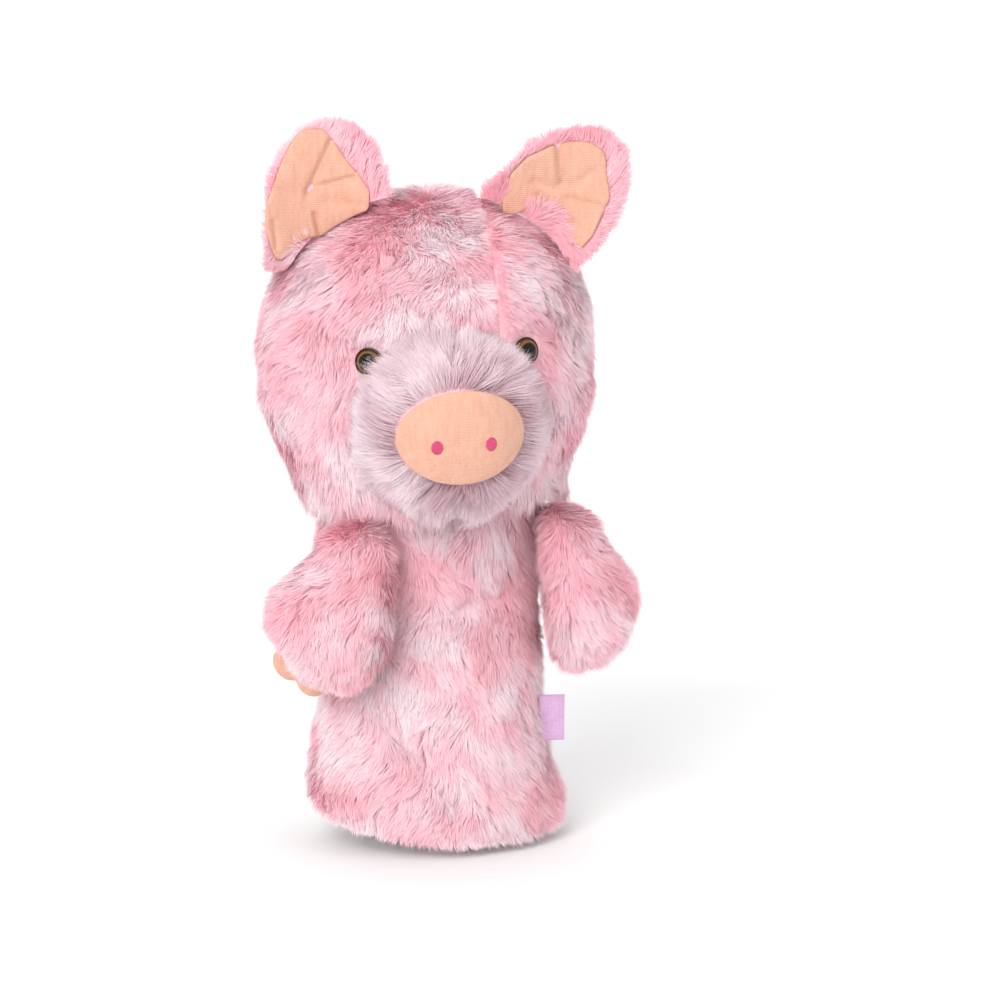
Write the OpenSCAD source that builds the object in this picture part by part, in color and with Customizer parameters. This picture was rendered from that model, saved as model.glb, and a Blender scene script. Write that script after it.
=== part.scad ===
// Plush animal cover for a golf driver: a padded head that holds the club head,
// on a furry sleeve with two hanging arms, gathered by an elastic band round the shaft.
// Millimetres. +Z runs up the club shaft to the crown, and the face looks along -Y.
// The origin is the centre of the elastic band. Left and right are the animal's own.

/* [Sleeve] */
// Distance from the elastic band down to the hem where it hangs highest
hem_drop = 104; // [100:1:108]
// Width of the sleeve at the hem's lowest level
hem_w = 146; // [140:1:150]
// Depth of the sleeve at the hem's lowest level
hem_d = 112; // [106:1:116]
// Width of the sleeve at the waist
waist_w = 114; // [108:1:120]
// Depth of the sleeve at the waist
waist_d = 96; // [92:1:100]
// How much lower the hem hangs at the front
hem_dip = 24; // [16:1:26]
// Thickness of the furry fabric
fur_t = 4; // [3:0.5:5]
// Thickness of the lining fabric
lining_t = 1.2; // [1:0.1:1.6]

/* [Grip band] */
// Inner radius of the relaxed elastic band
band_r = 30; // [28:0.5:32]
// Height of the elastic band
band_h = 14; // [12:1:16]
// Thickness of the elastic band
band_t = 3; // [2.5:0.5:3.5]

/* [Head] */
// Width of the head
head_w = 180; // [176:1:184]
// Depth of the head without its muzzle
head_d = 156; // [152:1:160]
// Height of the crown above the widest level of the head
crown_h = 83; // [80:1:86]
// Height of the widest level above the elastic band
cheek_z = 138; // [135:1:141]
// Height of the neck opening above the elastic band
neck_z = 61; // [59:1:63]
// Width of the neck opening as a share of the head's width
neck_share = 0.76; // [0.75:0.005:0.77]
// Sideways lean of the head on its soft neck, in degrees
head_lean = 2.4; // [0:0.2:4]
// Width of the forehead strip between its two seams
gusset_w = 60; // [56:1:64]
// Thickness of the fibre padding round the pocket
padding_t = 6; // [5:0.5:7]

/* [Muzzle] */
// Width of the muzzle
muzzle_w = 94; // [90:1:96]
// Height of the muzzle
muzzle_h = 98; // [94:1:100]
// How far the middle of the face lies to the animal's left
face_x = 2; // [-4:0.5:4]
// How far the muzzle stands out from the face
muzzle_out = 39; // [35:1:42]
// Height of the muzzle's centre above the elastic band
muzzle_z = 103; // [101:1:105]
// Width of the velour snout pad
snout_w = 67; // [62:1:70]
// Height of the velour snout pad
snout_h = 50; // [46:1:52]
// Distance between the nostrils
nostril_gap = 28; // [25:1:30]

/* [Eyes] */
// Distance between the eyes
eye_gap = 82; // [82:1:92]
// Height of the eyes above the elastic band
eye_z = 141; // [141:1:145]
// Radius of an eye
eye_r = 7.3; // [6.5:0.1:8]

/* [Ears] */
// Width of an ear
ear_w = 72; // [68:1:76]
// Height of the right ear above its base
right_ear_h = 58; // [54:1:62]
// Height of the left ear above its base
left_ear_h = 65; // [60:1:68]
// Outward lean of the right ear, in degrees
right_ear_lean = -6; // [-10:1:0]
// Outward lean of the left ear, in degrees
left_ear_lean = 47; // [42:1:50]

/* [Arms] */
// Length of an arm along its middle
arm_len = 77; // [74:1:82]
// Width of an arm
arm_w = 72; // [70:1:76]
// Thickness of an arm
arm_t = 48; // [47:1:50]
// Height of the right shoulder above the elastic band
right_shoulder_z = 44; // [40:1:47]
// Height of the left shoulder above the elastic band
left_shoulder_z = 47; // [44:1:49]
// Way the right arm faces from the front, in degrees
right_arm_turn = 32; // [28:1:40]
// Way the left arm faces from the front, in degrees
left_arm_turn = 68; // [62:1:72]
// How far outward the right arm hangs from where it faces
right_arm_shift = 12; // [8:1:14]
// How far outward the left arm hangs from where it faces
left_arm_shift = -8; // [-12:1:0]
// How far the right arm's end turns outward, in degrees
right_arm_bend = 42; // [34:1:46]
// How far the left arm's end turns outward, in degrees
left_arm_bend = 38; // [34:1:46]
// How far the left arm stands away from the sleeve, in degrees
left_arm_lift = 1; // [0:1:5]

/* [Label] */
// Height of the folded side label
label_h = 25; // [22:1:28]
// How far the folded side label stands out of its seam
label_w = 11; // [9:1:13]

/* [Hidden] */
gap = 0.3;                                // between neighbouring fabric pieces
layer_gap = 0.8;                          // between layers with different facets
sleeve_top = neck_z + 10;                 // the sleeve's edge, tucked inside the head
neck_play = 2.5;                          // room for the head to tilt on the sleeve
top_w = neck_share * head_w - 2 * (fur_t + neck_play);
top_d = neck_share * head_d - 2 * (fur_t + neck_play);
lining_gap = band_h / 2 + 1;              // from the band's middle to the lining's edge
pocket_z = neck_z + 24;                   // lower edge of the padding and the pocket
facing_h = 18;                            // height of the turned-in hem
ear_gap = 3;                              // room under an ear for it to flop
ear_droop = 24;                           // how far the ear's corners may hang down
ear_back_t = 6;                           // thickness of the ear's furry back
ear_front_t = 1.6;                        // thickness of the ear's velour front
ear_cup = 9;                              // how far the ear's edges curl forward
velour_share = 0.76;                      // width of the velour as a share of the ear
velour_shift = 3;                         // how far the velour sits toward the outer edge
arm_clear = 1;                            // between the arm and the sleeve
eye_stem_r = 1.6;
eye_stem = 10;
washer_r = 8;
washer_t = 1.2;
muzzle_lift = 1;                          // between the muzzle's edge and the face
pad_t = 2.4;                              // thickness of the snout pad
nostril_w = 4.8;
nostril_h = 6;
label_t = 0.9;
pink = [0.97, 0.72, 0.77];
pale_pink = [0.94, 0.82, 0.86];
peach = [0.98, 0.79, 0.64];
magenta = [0.84, 0.24, 0.47];
white = [0.93, 0.93, 0.92];
lilac = [0.82, 0.68, 0.83];
$fn = 48;

// ---- Solids between two surfaces -------------------------------------------------
// A surface is a function of u and v, both from 0 to 1: u runs to the right and v up,
// seen from outside. Each solid is one closed mesh.
function grid(f, cols, rows, wrap) =
    [for (j = [0:rows]) for (i = [0:cols - 1]) f(i / (wrap ? cols : cols - 1), j / rows)];
function band_faces(a, cols, rows, wrap) =
    [for (j = [0:rows - 1]) for (i = [0:wrap ? cols - 1 : cols - 2])
        let (p = a + j * cols + i, q = a + j * cols + (i + 1) % cols)
        each [[p, p + cols, q + cols], [p, q + cols, q]]];
function flipped(faces) = [for (f = faces) [f[2], f[1], f[0]]];
function low_rim(cols, k) =
    [for (i = [0:cols - 1]) let (j = (i + 1) % cols) each [[i, j, k + j], [i, k + j, k + i]]];
function middle(points) = [for (p = points) 1] * points / len(points);

// Strip of fabric between two surfaces, closed along all four edges
module panel(outer, inner, cols, rows) {
    k = cols * (rows + 1);
    t = cols * rows;
    points = concat(grid(outer, cols, rows, false), grid(inner, cols, rows, false));
    low = [for (i = [0:cols - 2]) each [[i, i + 1, k + i + 1], [i, k + i + 1, k + i]]];
    top = [for (i = [0:cols - 2]) let (p = t + i)
        each [[p + 1, p, k + p], [p + 1, k + p, k + p + 1]]];
    sides = [for (j = [0:rows - 1]) let (p = j * cols, q = p + cols - 1)
        each [[p + cols, p, k + p], [p + cols, k + p, k + p + cols],
              [q, q + cols, k + q + cols], [q, k + q + cols, k + q]]];
    polyhedron(points, concat(band_faces(0, cols, rows, false),
        flipped(band_faces(k, cols, rows, false)), low, top, sides));
}

// Tube between two surfaces, open at both ends
module tube(outer, inner, cols, rows) {
    k = cols * (rows + 1);
    t = cols * rows;
    points = concat(grid(outer, cols, rows, true), grid(inner, cols, rows, true));
    top = [for (i = [0:cols - 1]) let (p = t + i, q = t + (i + 1) % cols)
        each [[q, p, k + p], [q, k + p, k + q]]];
    polyhedron(points, concat(band_faces(0, cols, rows, true),
        flipped(band_faces(k, cols, rows, true)), low_rim(cols, k), top));
}

// Cup between two surfaces, open at v = 0 and closed by a point beyond v = 1
module cup(outer, inner, cols, rows, tip, inner_tip, turned = false) {
    k = cols * (rows + 1);
    t = cols * rows;
    end = 2 * k;
    points = concat(grid(outer, cols, rows, true), grid(inner, cols, rows, true),
        [tip, inner_tip]);
    tips = [for (i = [0:cols - 1]) let (p = t + i, q = t + (i + 1) % cols)
        each [[q, p, end], [k + p, k + q, end + 1]]];
    faces = concat(band_faces(0, cols, rows, true),
        flipped(band_faces(k, cols, rows, true)), low_rim(cols, k), tips);
    polyhedron(points, turned ? flipped(faces) : faces);
}

// Closed form with one skin, its two ends closed by a point
module blob(f, cols, rows, turned = false) {
    points = grid(f, cols, rows, true);
    t = cols * rows;
    end = len(points);
    low = [for (i = [0:cols - 1]) points[i]];
    top = [for (i = [0:cols - 1]) points[t + i]];
    caps = [for (i = [0:cols - 1]) let (j = (i + 1) % cols)
        each [[i, j, end], [t + j, t + i, end + 1]]];
    faces = concat(band_faces(0, cols, rows, true), caps);
    polyhedron(concat(points, [middle(low), middle(top)]), turned ? flipped(faces) : faces);
}

// ---- Sleeve ----------------------------------------------------------------------
function mix(a, b, t) = a + (b - a) * t;
function ease(t) = let (c = max(0, min(1, t))) c * c * (3 - 2 * c);
// Half size of the sleeve at height z, from its size at the hem, the waist and the neck
function sleeve_half(z, hem, waist, top) =
    z < 0 ? mix(waist, hem, pow(-z / (hem_drop + hem_dip), 1.7)) / 2
          : mix(waist, top, ease(z / neck_z)) / 2;
// Point on the sleeve at an angle from the front, moved inward
function sleeve_at(angle, z, inward) =
    [(sleeve_half(z, hem_w, waist_w, top_w) - inward) * sin(angle),
     -(sleeve_half(z, hem_d, waist_d, top_d) - inward) * cos(angle), z];
function hem_z(angle) = -hem_drop - hem_dip * (1 + cos(angle - 30)) / 2;
function sleeve_wall(from, to, inward) =
    function (u, v) let (angle = mix(from, to, u))
        sleeve_at(angle, mix(hem_z(angle), sleeve_top, v), inward);
seam = 0.3;                               // half of a seam's gap, in degrees

module front_sleeve_panel() {
    color(pink)
    panel(sleeve_wall(-90 + seam, 90 - seam, 0), sleeve_wall(-90 + seam, 90 - seam, fur_t), 17, 9);
}

module back_sleeve_panel() {
    color(pink)
    panel(sleeve_wall(90 + seam, 270 - seam, 0), sleeve_wall(90 + seam, 270 - seam, fur_t), 17, 9);
}

module hem_facing() {
    color(pale_pink)
    tube(function (u, v) sleeve_at(360 * u, hem_z(360 * u) + facing_h * v, fur_t + gap),
         function (u, v) sleeve_at(360 * u, hem_z(360 * u) + facing_h * v, fur_t + gap + 1.5), 32, 2);
}

// Lining that runs from near the sleeve wall to the elastic band. Its far edge, like the
// hem, can change its height with the angle.
function funnel(far_z, near_z, reach, inward) =
    function (u, v) let (z = mix(far_z(360 * u), near_z, v),
                         pinch = max(0, (v - reach) / (1 - reach)),
                         wall = sleeve_at(360 * u, z, fur_t + 2 + inward), r = band_r + 4 - inward)
        [mix(wall.x, r * sin(360 * u), pinch), mix(wall.y, -r * cos(360 * u), pinch), z];

module lower_lining() {
    low = function (angle) hem_z(angle) + facing_h + gap;
    color(white)
    tube(funnel(low, -lining_gap, 0.3, 0), funnel(low, -lining_gap, 0.3, lining_t), 32, 8);
}

module upper_lining() {
    color(white)
    mirror([0, 0, 1])
    tube(upper_funnel(0), upper_funnel(lining_t), 32, 7);
}
function upper_funnel(inward) =
    function (u, v) let (p = funnel(function (angle) sleeve_top, lining_gap, 0.25, inward)(1 - u, v))
        [p.x, p.y, -p.z];

module elastic_grip_band() {
    color(white)
    difference() {
        cylinder(h = band_h, r = band_r + band_t, center = true, $fn = 96);
        cylinder(h = band_h + 2, r = band_r, center = true, $fn = 96);
    }
}

// ---- Head ------------------------------------------------------------------------
module lean() {
    translate([0, 0, neck_z]) rotate([0, -head_lean, 0]) translate([0, 0, -neck_z]) children();
}
// Width of the head at a level: -90 is the neck opening, 0 the cheeks and 90 the crown
function level_share(level) =
    level < 0 ? mix(neck_share, 1, cos(level)) : cos(level);
function level_z(level, inward) =
    level < 0 ? cheek_z + (cheek_z - neck_z) * level / 90
              : cheek_z + (crown_h - inward) * sin(level);
function head_at(angle, level, inward) =
    [(head_w / 2 - inward) * level_share(level) * sin(angle),
     -(head_d / 2 - inward) * level_share(level) * cos(angle), level_z(level, inward)];
// Angle from the front at which a seam runs, at a level
function seam_angle(level, x) = asin(min(0.999, x / (head_w / 2 * level_share(level))));
top_level = acos((gusset_w / 2 + 1.5) / (head_w / 2));

function side_wall(inward) =
    function (u, v) let (level = mix(-90, top_level, v), a = seam_angle(level, gusset_w / 2 + gap / 2))
        head_at(mix(a, 180 - a, u), level, inward);
module head_side() {
    color(pink)
    panel(side_wall(0), side_wall(fur_t), 15, 15);
}
module left_head_side() {
    lean() head_side();
}
module right_head_side() {
    lean() mirror([1, 0, 0]) head_side();
}

// The strip over the head: from above the muzzle, over the crown to the back
function strip(inward) =
    function (u, v) let (x = mix(-1, 1, u) * (gusset_w / 2 - gap / 2), a = mix(7, 179, v),
                         k = sqrt(1 - pow(2 * x / head_w, 2)))
        [x * (1 - 2 * inward / head_w), -(head_d / 2 - inward) * k * cos(a),
         cheek_z + (crown_h - inward) * k * sin(a)];
module forehead_gusset() {
    color(pale_pink)
    lean() panel(strip(0), strip(fur_t), 7, 22);
}

function lower_strip(middle_angle, from, to, inward) =
    function (u, v) let (level = mix(from, to, v), a = seam_angle(level, gusset_w / 2 - gap / 2))
        head_at(middle_angle + mix(-a, a, u), level, inward);
module nape_panel() {
    color(pink)
    lean() panel(lower_strip(180, -90, -1, 0), lower_strip(180, -90, -1, fur_t), 7, 6);
}
module throat_panel() {
    color(pink)
    lean() panel(lower_strip(0, -90, -40, 0), lower_strip(0, -90, -40, fur_t), 7, 4);
}

// Inner layers of the head, from the pocket's lower edge to the crown
pocket_level = (pocket_z - cheek_z) / (cheek_z - neck_z) * 90;
function layer(inward) =
    function (u, v) head_at(360 * u, mix(pocket_level, 84, v), inward);
function layer_tip(inward) = [0, 0, cheek_z + crown_h - inward];
module head_layer(near, far) {
    lean() cup(layer(near), layer(far), 32, 12, layer_tip(near), layer_tip(far));
}
module head_padding() {
    color(white) head_layer(fur_t + layer_gap, fur_t + layer_gap + padding_t);
}
module head_pocket_lining() {
    near = fur_t + layer_gap + padding_t + gap;
    color(white) head_layer(near, near + lining_t);
}

// ---- Muzzle ----------------------------------------------------------------------
// Front of the head at x and z
function face_y(x, z) =
    let (level = z < cheek_z ? 90 * (z - cheek_z) / (cheek_z - neck_z)
                             : asin(min(1, (z - cheek_z) / crown_h)), k = level_share(level))
    -head_d / 2 * k * sqrt(max(0, 1 - pow(2 * x / (head_w * k), 2)));
function dome(r) = pow(max(0, 1 - pow(r, 3.2)), 0.6);
// Point on the muzzle: r runs from its middle to its edge, and it narrows to the chin
function muzzle_at(angle, r, inward, lift) =
    let (chin = 1 - 0.22 * pow(max(0, -sin(angle)), 2),
         x = face_x + (muzzle_w / 2 - inward) * r * cos(angle) * chin,
         z = muzzle_z + (muzzle_h / 2 - inward) * r * sin(angle))
    [x, face_y(x, z) - lift - (muzzle_out - inward) * dome(r), z];
function muzzle_wall(inward, lift) =
    function (u, v) muzzle_at(360 * u, 1 - 0.93 * v * (2 - v), inward, lift);
function muzzle_tip(inward, lift) = muzzle_at(0, 0, inward, lift);

module muzzle_cover() {
    color(pale_pink)
    lean() cup(muzzle_wall(0, muzzle_lift), muzzle_wall(fur_t, muzzle_lift), 32, 9,
        muzzle_tip(0, muzzle_lift), muzzle_tip(fur_t, muzzle_lift));
}
module muzzle_filling() {
    low = muzzle_lift / 2;
    front = muzzle_wall(fur_t + layer_gap, muzzle_lift);
    back = function (u, v) let (p = front(u, v)) [p.x, face_y(p.x, p.z) - low, p.z];
    color(white)
    lean() cup(front, back, 32, 9, muzzle_tip(fur_t + layer_gap, muzzle_lift),
        [face_x, face_y(face_x, muzzle_z) - low, muzzle_z]);
}

// Point on an oval that lies on the muzzle's front
function oval(cx, cz, w, h, lift) =
    function (u, v) let (r = 1 - 0.9 * v, x = cx + w / 2 * r * cos(360 * u), z = cz + h / 2 * r * sin(360 * u))
        [x, front_y(x, z) - lift, z];
function front_y(x, z) =
    let (r = sqrt(pow(2 * (x - face_x) / muzzle_w, 2) + pow(2 * (z - muzzle_z) / muzzle_h, 2)))
    face_y(x, z) - muzzle_lift - muzzle_out * dome(r);
module oval_pad(cx, cz, w, h, near, thick, cols, rows) {
    tip = [cx, front_y(cx, cz) - near, cz];
    cup(oval(cx, cz, w, h, near + thick), oval(cx, cz, w, h, near), cols, rows,
        tip - [0, thick, 0], tip);
}
snout_z = muzzle_z + 2;
module snout_pad() {
    color(peach) lean() oval_pad(face_x, snout_z, snout_w, snout_h, 0.8, pad_t, 32, 5);
}
module nostril(side) {
    color(magenta)
    lean()
    oval_pad(face_x + side * nostril_gap / 2, snout_z - 3.5, nostril_w, nostril_h, pad_t + 1.1, 0.9, 16, 1);
}
module left_nostril() {
    nostril(1);
}
module right_nostril() {
    nostril(-1);
}

// ---- Eyes ------------------------------------------------------------------------
// Puts its children on the head at the eye, with +Z pointing out of the face
module at_eye(side) {
    x = eye_gap / 2 + side * face_x;
    y = face_y(x, eye_z);
    out = [x / pow(head_w / 2, 2), y / pow(head_d / 2, 2), (eye_z - cheek_z) / pow(crown_h, 2)];
    turn = atan2(out.x, -out.y);
    rise = atan2(out.z, norm([out.x, out.y]));
    lean()
    mirror([side < 0 ? 1 : 0, 0, 0])
    translate([x, y, eye_z])
    rotate([0, 0, turn])
    rotate([90 - rise, 0, 0])
    children();
}
module eye(side) {
    dome_r = eye_r * 1.16;
    color([0.2, 0.11, 0.06])
    at_eye(side)
    union() {
        translate([0, 0, 0.6])
        intersection() {
            translate([0, 0, -dome_r + 4.2]) sphere(r = dome_r);
            cylinder(h = 6, r = eye_r);
        }
        translate([0, 0, -eye_stem]) cylinder(h = eye_stem + 1, r = eye_stem_r);
    }
}
module left_eye() {
    eye(1);
}
module right_eye() {
    eye(-1);
}
module eye_washer(side) {
    color(white)
    at_eye(side)
    translate([0, 0, -fur_t - 1 - washer_t])
    difference() {
        cylinder(h = washer_t, r = washer_r);
        translate([0, 0, -1]) cylinder(h = washer_t + 2, r = eye_stem_r);
    }
}
module left_eye_washer() {
    eye_washer(1);
}
module right_eye_washer() {
    eye_washer(-1);
}

// ---- Ears ------------------------------------------------------------------------
function head_top(x, y) =
    cheek_z + crown_h * sqrt(max(0, 1 - pow(2 * x / head_w, 2) - pow(2 * y / head_d, 2)));
// Where an ear is sewn on: its distance from the middle grows with its lean
function ear_x(tilt) = 52.8 + tilt * 0.13;
ear_y = -16;
function ear_z(tilt) = head_top(ear_x(tilt), ear_y) + ear_gap;
// Height in the ear's own plane at which the column p clears the head, found by halving
function ear_foot(p, tilt, low = -ear_droop, high = 40, tries = 12) =
    tries == 0 ? low
    : let (q = (low + high) / 2, x = ear_x(tilt) + p * cos(tilt) + q * sin(tilt),
           above = ear_z(tilt) - p * sin(tilt) + q * cos(tilt) - head_top(x, ear_y) - ear_gap)
      above > 0 ? ear_foot(p, tilt, low, q, tries - 1) : ear_foot(p, tilt, q, high, tries - 1);
function ear_tip(p, w) = pow(max(0, 1 - pow(abs(p) / (w / 2), 2.3)), 0.62);
function ear_curl(p, q, tall) = ear_cup * pow(2 * p / ear_w, 2) * (1 - 0.5 * max(0, q) / tall);
// Leaf-shaped layer of an ear with this lean and height: share scales its outline,
// shift moves it outward, and off is its place in depth
function ear_leaf(tilt, tall, share, raise, off, shift = 0) =
    function (u, v) let (w = ear_w * share, p = mix(-0.93, 0.93, u) * w / 2,
                         foot = ear_foot(p + shift, tilt) + raise,
                         tip = max(foot + 4, tall * ear_tip(p, w) * share + raise),
                         q = mix(foot, tip, v))
        [p + shift, off - ear_curl(p + shift, q, tall), q];
module at_ear(side, tilt) {
    lean()
    mirror([side < 0 ? 1 : 0, 0, 0])
    translate([ear_x(tilt), ear_y, ear_z(tilt)])
    rotate([0, tilt, 0])
    children();
}
module ear_fur(tilt, tall) {
    color(pink)
    panel(ear_leaf(tilt, tall, 1, 0, -ear_back_t / 2), ear_leaf(tilt, tall, 1, 0, ear_back_t / 2), 17, 8);
}
module ear_velour(tilt, tall) {
    back = -ear_back_t / 2 - layer_gap;
    front = back - ear_front_t;
    color(peach)
    panel(ear_leaf(tilt, tall, velour_share, 1, front, velour_shift),
        ear_leaf(tilt, tall, velour_share, 1, back, velour_shift), 15, 7);
}
module left_ear_fur() {
    at_ear(1, left_ear_lean) ear_fur(left_ear_lean, left_ear_h);
}
module left_ear_velour() {
    at_ear(1, left_ear_lean) ear_velour(left_ear_lean, left_ear_h);
}
module right_ear_fur() {
    at_ear(-1, right_ear_lean) ear_fur(right_ear_lean, right_ear_h);
}
module right_ear_velour() {
    at_ear(-1, right_ear_lean) ear_velour(right_ear_lean, right_ear_h);
}

// ---- Arms ------------------------------------------------------------------------
// Distance from the sleeve's axis to the upright plane that touches its wall, by where it faces
function wall_at(turn) = norm([max(waist_w, top_w) / 2 * sin(turn), max(waist_d, top_d) / 2 * cos(turn)]);
// In an arm's own frame +X runs outward along the sleeve, -Y away from it, and +Z up
module at_left_arm() {
    at_arm(left_arm_turn, left_arm_shift, left_shoulder_z, left_arm_lift) children();
}
module at_right_arm() {
    mirror([1, 0, 0]) at_arm(right_arm_turn, right_arm_shift, right_shoulder_z, 0) children();
}
module at_arm(turn, shift, height, lift) {
    rotate([0, 0, turn])
    translate([shift, -wall_at(turn) - hinge_out, height])
    rotate([-lift, 0, 0])
    children();
}
hinge_out = 7;                            // from the sleeve's wall to the arm's hinge
arm_top = 3.5;                            // from the hinge up to the arm's top
function arm_swell(s) = sqrt(sin(180 * (0.11 + 0.78 * pow(s, 1.9))));
function arm_skin(arm_bend, inward, from, to) =
    function (u, v) let (s = mix(from, to, v), w = arm_w / 2 * arm_swell(s) - inward,
                         t = arm_t / 2 * arm_swell(s) - inward, bend = arm_bend * s,
                         away = arm_t / 2 * arm_swell(s) + arm_clear - hinge_out,
                         arm_r = arm_len / (arm_bend * PI / 180),
                         x = arm_r * (1 - cos(bend)) + w * cos(360 * u) * cos(bend),
                         z = arm_top - arm_r * sin(bend) + w * cos(360 * u) * sin(bend))
        [x, -away - t * sin(360 * u), z];
arm_from = 0.03;                          // the fur starts just below the sewn top
module arm_fur(arm_bend) {
    outer = arm_skin(arm_bend, 0, 1, 0);
    inner = arm_skin(arm_bend, fur_t, 1, arm_from);
    top = middle([for (i = [0:23]) outer(i / 24, 1)]);
    inner_top = middle([for (i = [0:23]) inner(i / 24, 1)]);
    color(pink) cup(outer, inner, 24, 12, top, inner_top);
}
module arm_filling(arm_bend) {
    color(white) blob(arm_skin(arm_bend, fur_t + layer_gap, 0.86, arm_from + 0.03), 20, 8);
}
trotter_r = 9.2;                          // radius of the larger toe where it leaves the arm
toe_r = 10.5;                             // radius of its round end
trotter_stub = 9;                         // length held inside the arm
trotter_out = 9;                          // length of a toe before its round end
module trotter(arm_bend) {
    end = arm_skin(arm_bend, 0, 1, 1);
    at = middle([for (i = [0:23]) end(i / 24, 0)]);
    color(peach)
    translate(at)
    rotate([0, 180 - arm_bend, 0])
    for (toe = [[-5, 1], [7, 0.85]])
        translate([toe.x, 0, -trotter_stub]) union() {
            cylinder(h = trotter_stub + trotter_out * toe.y, r = trotter_r * toe.y);
            translate([0, 0, trotter_stub + trotter_out * toe.y]) sphere(r = toe_r * toe.y);
        }
}
module left_arm_fur() {
    at_left_arm() arm_fur(left_arm_bend);
}
module left_arm_filling() {
    at_left_arm() arm_filling(left_arm_bend);
}
module left_trotter() {
    at_left_arm() trotter(left_arm_bend);
}
module right_arm_fur() {
    at_right_arm() arm_fur(right_arm_bend);
}
module right_arm_filling() {
    at_right_arm() arm_filling(right_arm_bend);
}
module right_trotter() {
    at_right_arm() trotter(right_arm_bend);
}

// ---- Side label ------------------------------------------------------------------
label_z = -64;
label_y = -20;
module side_label() {
    low = label_z - label_h / 2;
    wide = sleeve_half(low, hem_w, waist_w, top_w);
    x = wide * sqrt(1 - pow(label_y / sleeve_half(low, hem_d, waist_d, top_d), 2)) + 0.6;
    color(lilac)
    translate([x, label_y - label_t / 2, label_z - label_h / 2])
    union() {
        cube([label_w - label_t, label_t, label_h]);
        translate([label_w - label_t, label_t / 2, 0]) cylinder(h = label_h, r = label_t / 2);
    }
}

front_sleeve_panel();
back_sleeve_panel();
hem_facing();
lower_lining();
upper_lining();
elastic_grip_band();
forehead_gusset();
left_head_side();
right_head_side();
nape_panel();
throat_panel();
head_padding();
head_pocket_lining();
muzzle_cover();
muzzle_filling();
snout_pad();
left_nostril();
right_nostril();
left_eye();
right_eye();
left_eye_washer();
right_eye_washer();
left_ear_fur();
left_ear_velour();
right_ear_fur();
right_ear_velour();
left_arm_fur();
left_arm_filling();
left_trotter();
right_arm_fur();
right_arm_filling();
right_trotter();
side_label();
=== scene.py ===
import math

import bmesh
import bpy
import numpy as np
from mathutils import Matrix, Vector
from mathutils.kdtree import KDTree


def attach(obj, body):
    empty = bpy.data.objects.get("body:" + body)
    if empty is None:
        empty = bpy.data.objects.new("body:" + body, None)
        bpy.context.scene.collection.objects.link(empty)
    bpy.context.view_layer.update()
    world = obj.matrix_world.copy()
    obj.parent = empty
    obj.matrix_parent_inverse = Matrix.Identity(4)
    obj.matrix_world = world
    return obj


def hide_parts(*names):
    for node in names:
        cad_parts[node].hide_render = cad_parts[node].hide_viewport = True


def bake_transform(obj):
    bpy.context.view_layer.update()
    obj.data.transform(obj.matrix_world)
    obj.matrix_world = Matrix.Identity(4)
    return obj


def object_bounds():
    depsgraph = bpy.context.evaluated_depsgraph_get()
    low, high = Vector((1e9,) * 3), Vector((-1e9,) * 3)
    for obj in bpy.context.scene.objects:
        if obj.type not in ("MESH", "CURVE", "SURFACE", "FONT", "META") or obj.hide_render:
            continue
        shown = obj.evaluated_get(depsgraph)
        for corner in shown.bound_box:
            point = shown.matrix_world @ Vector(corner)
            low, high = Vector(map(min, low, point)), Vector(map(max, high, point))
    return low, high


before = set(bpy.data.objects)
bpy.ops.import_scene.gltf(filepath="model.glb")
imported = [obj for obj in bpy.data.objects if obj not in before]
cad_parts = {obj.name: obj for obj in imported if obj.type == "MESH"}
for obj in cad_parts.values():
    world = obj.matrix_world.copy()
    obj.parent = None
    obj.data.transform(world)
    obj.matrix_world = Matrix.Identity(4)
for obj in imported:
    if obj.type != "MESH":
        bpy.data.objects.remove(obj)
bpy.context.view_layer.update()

# ---- Sizes of the frame, in millimetres, as its source has them ------------------
MM = 0.001
HEM_DROP, HEM_W, HEM_D, HEM_DIP = 104, 146, 112, 24
WAIST_W, WAIST_D = 114, 96
FUR_T, LINING_T, FACING_H = 4, 1.2, 18
BAND_R, BAND_H, BAND_T = 30, 14, 3
HEAD_W, HEAD_D, CROWN_H, CHEEK_Z, NECK_Z = 180, 156, 83, 138, 61
NECK_SHARE, HEAD_LEAN, GUSSET_W, PADDING_T = 0.76, 2.4, 60, 6
MUZZLE_W, MUZZLE_H, MUZZLE_OUT, MUZZLE_Z = 94, 98, 39, 103
FACE_X, MUZZLE_LIFT = 2, 1
SNOUT_W, SNOUT_H, NOSTRIL_GAP, PAD_T = 67, 50, 28, 2.4
EYE_GAP, EYE_Z, EYE_R = 82, 141, 7.3
EAR_W = 72
LEFT_EAR, RIGHT_EAR = (1, 47, 65), (-1, -6, 58)   # side, lean and height
ARM_LEN, ARM_W, ARM_T = 77, 72, 48
RIGHT_ARM = (-1, 32, 12, 0, 44, 42)        # side, turn, shift, lift, shoulder's height and bend
LEFT_ARM = (1, 68, -8, 1, 47, 38)
LABEL_H, LABEL_W, LABEL_Z, LABEL_Y = 25, 11, -64, -20
GAP, LAYER_GAP = 0.3, 0.8
SLEEVE_TOP, NECK_PLAY = NECK_Z + 10, 2.5
TOP_W = NECK_SHARE * HEAD_W - 2 * (FUR_T + NECK_PLAY)
TOP_D = NECK_SHARE * HEAD_D - 2 * (FUR_T + NECK_PLAY)
SNOUT_Z = MUZZLE_Z + 2
SKIN = 3.2                                 # from the pile's tips down to the fabric's backing
TAU = 2 * math.pi

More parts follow.
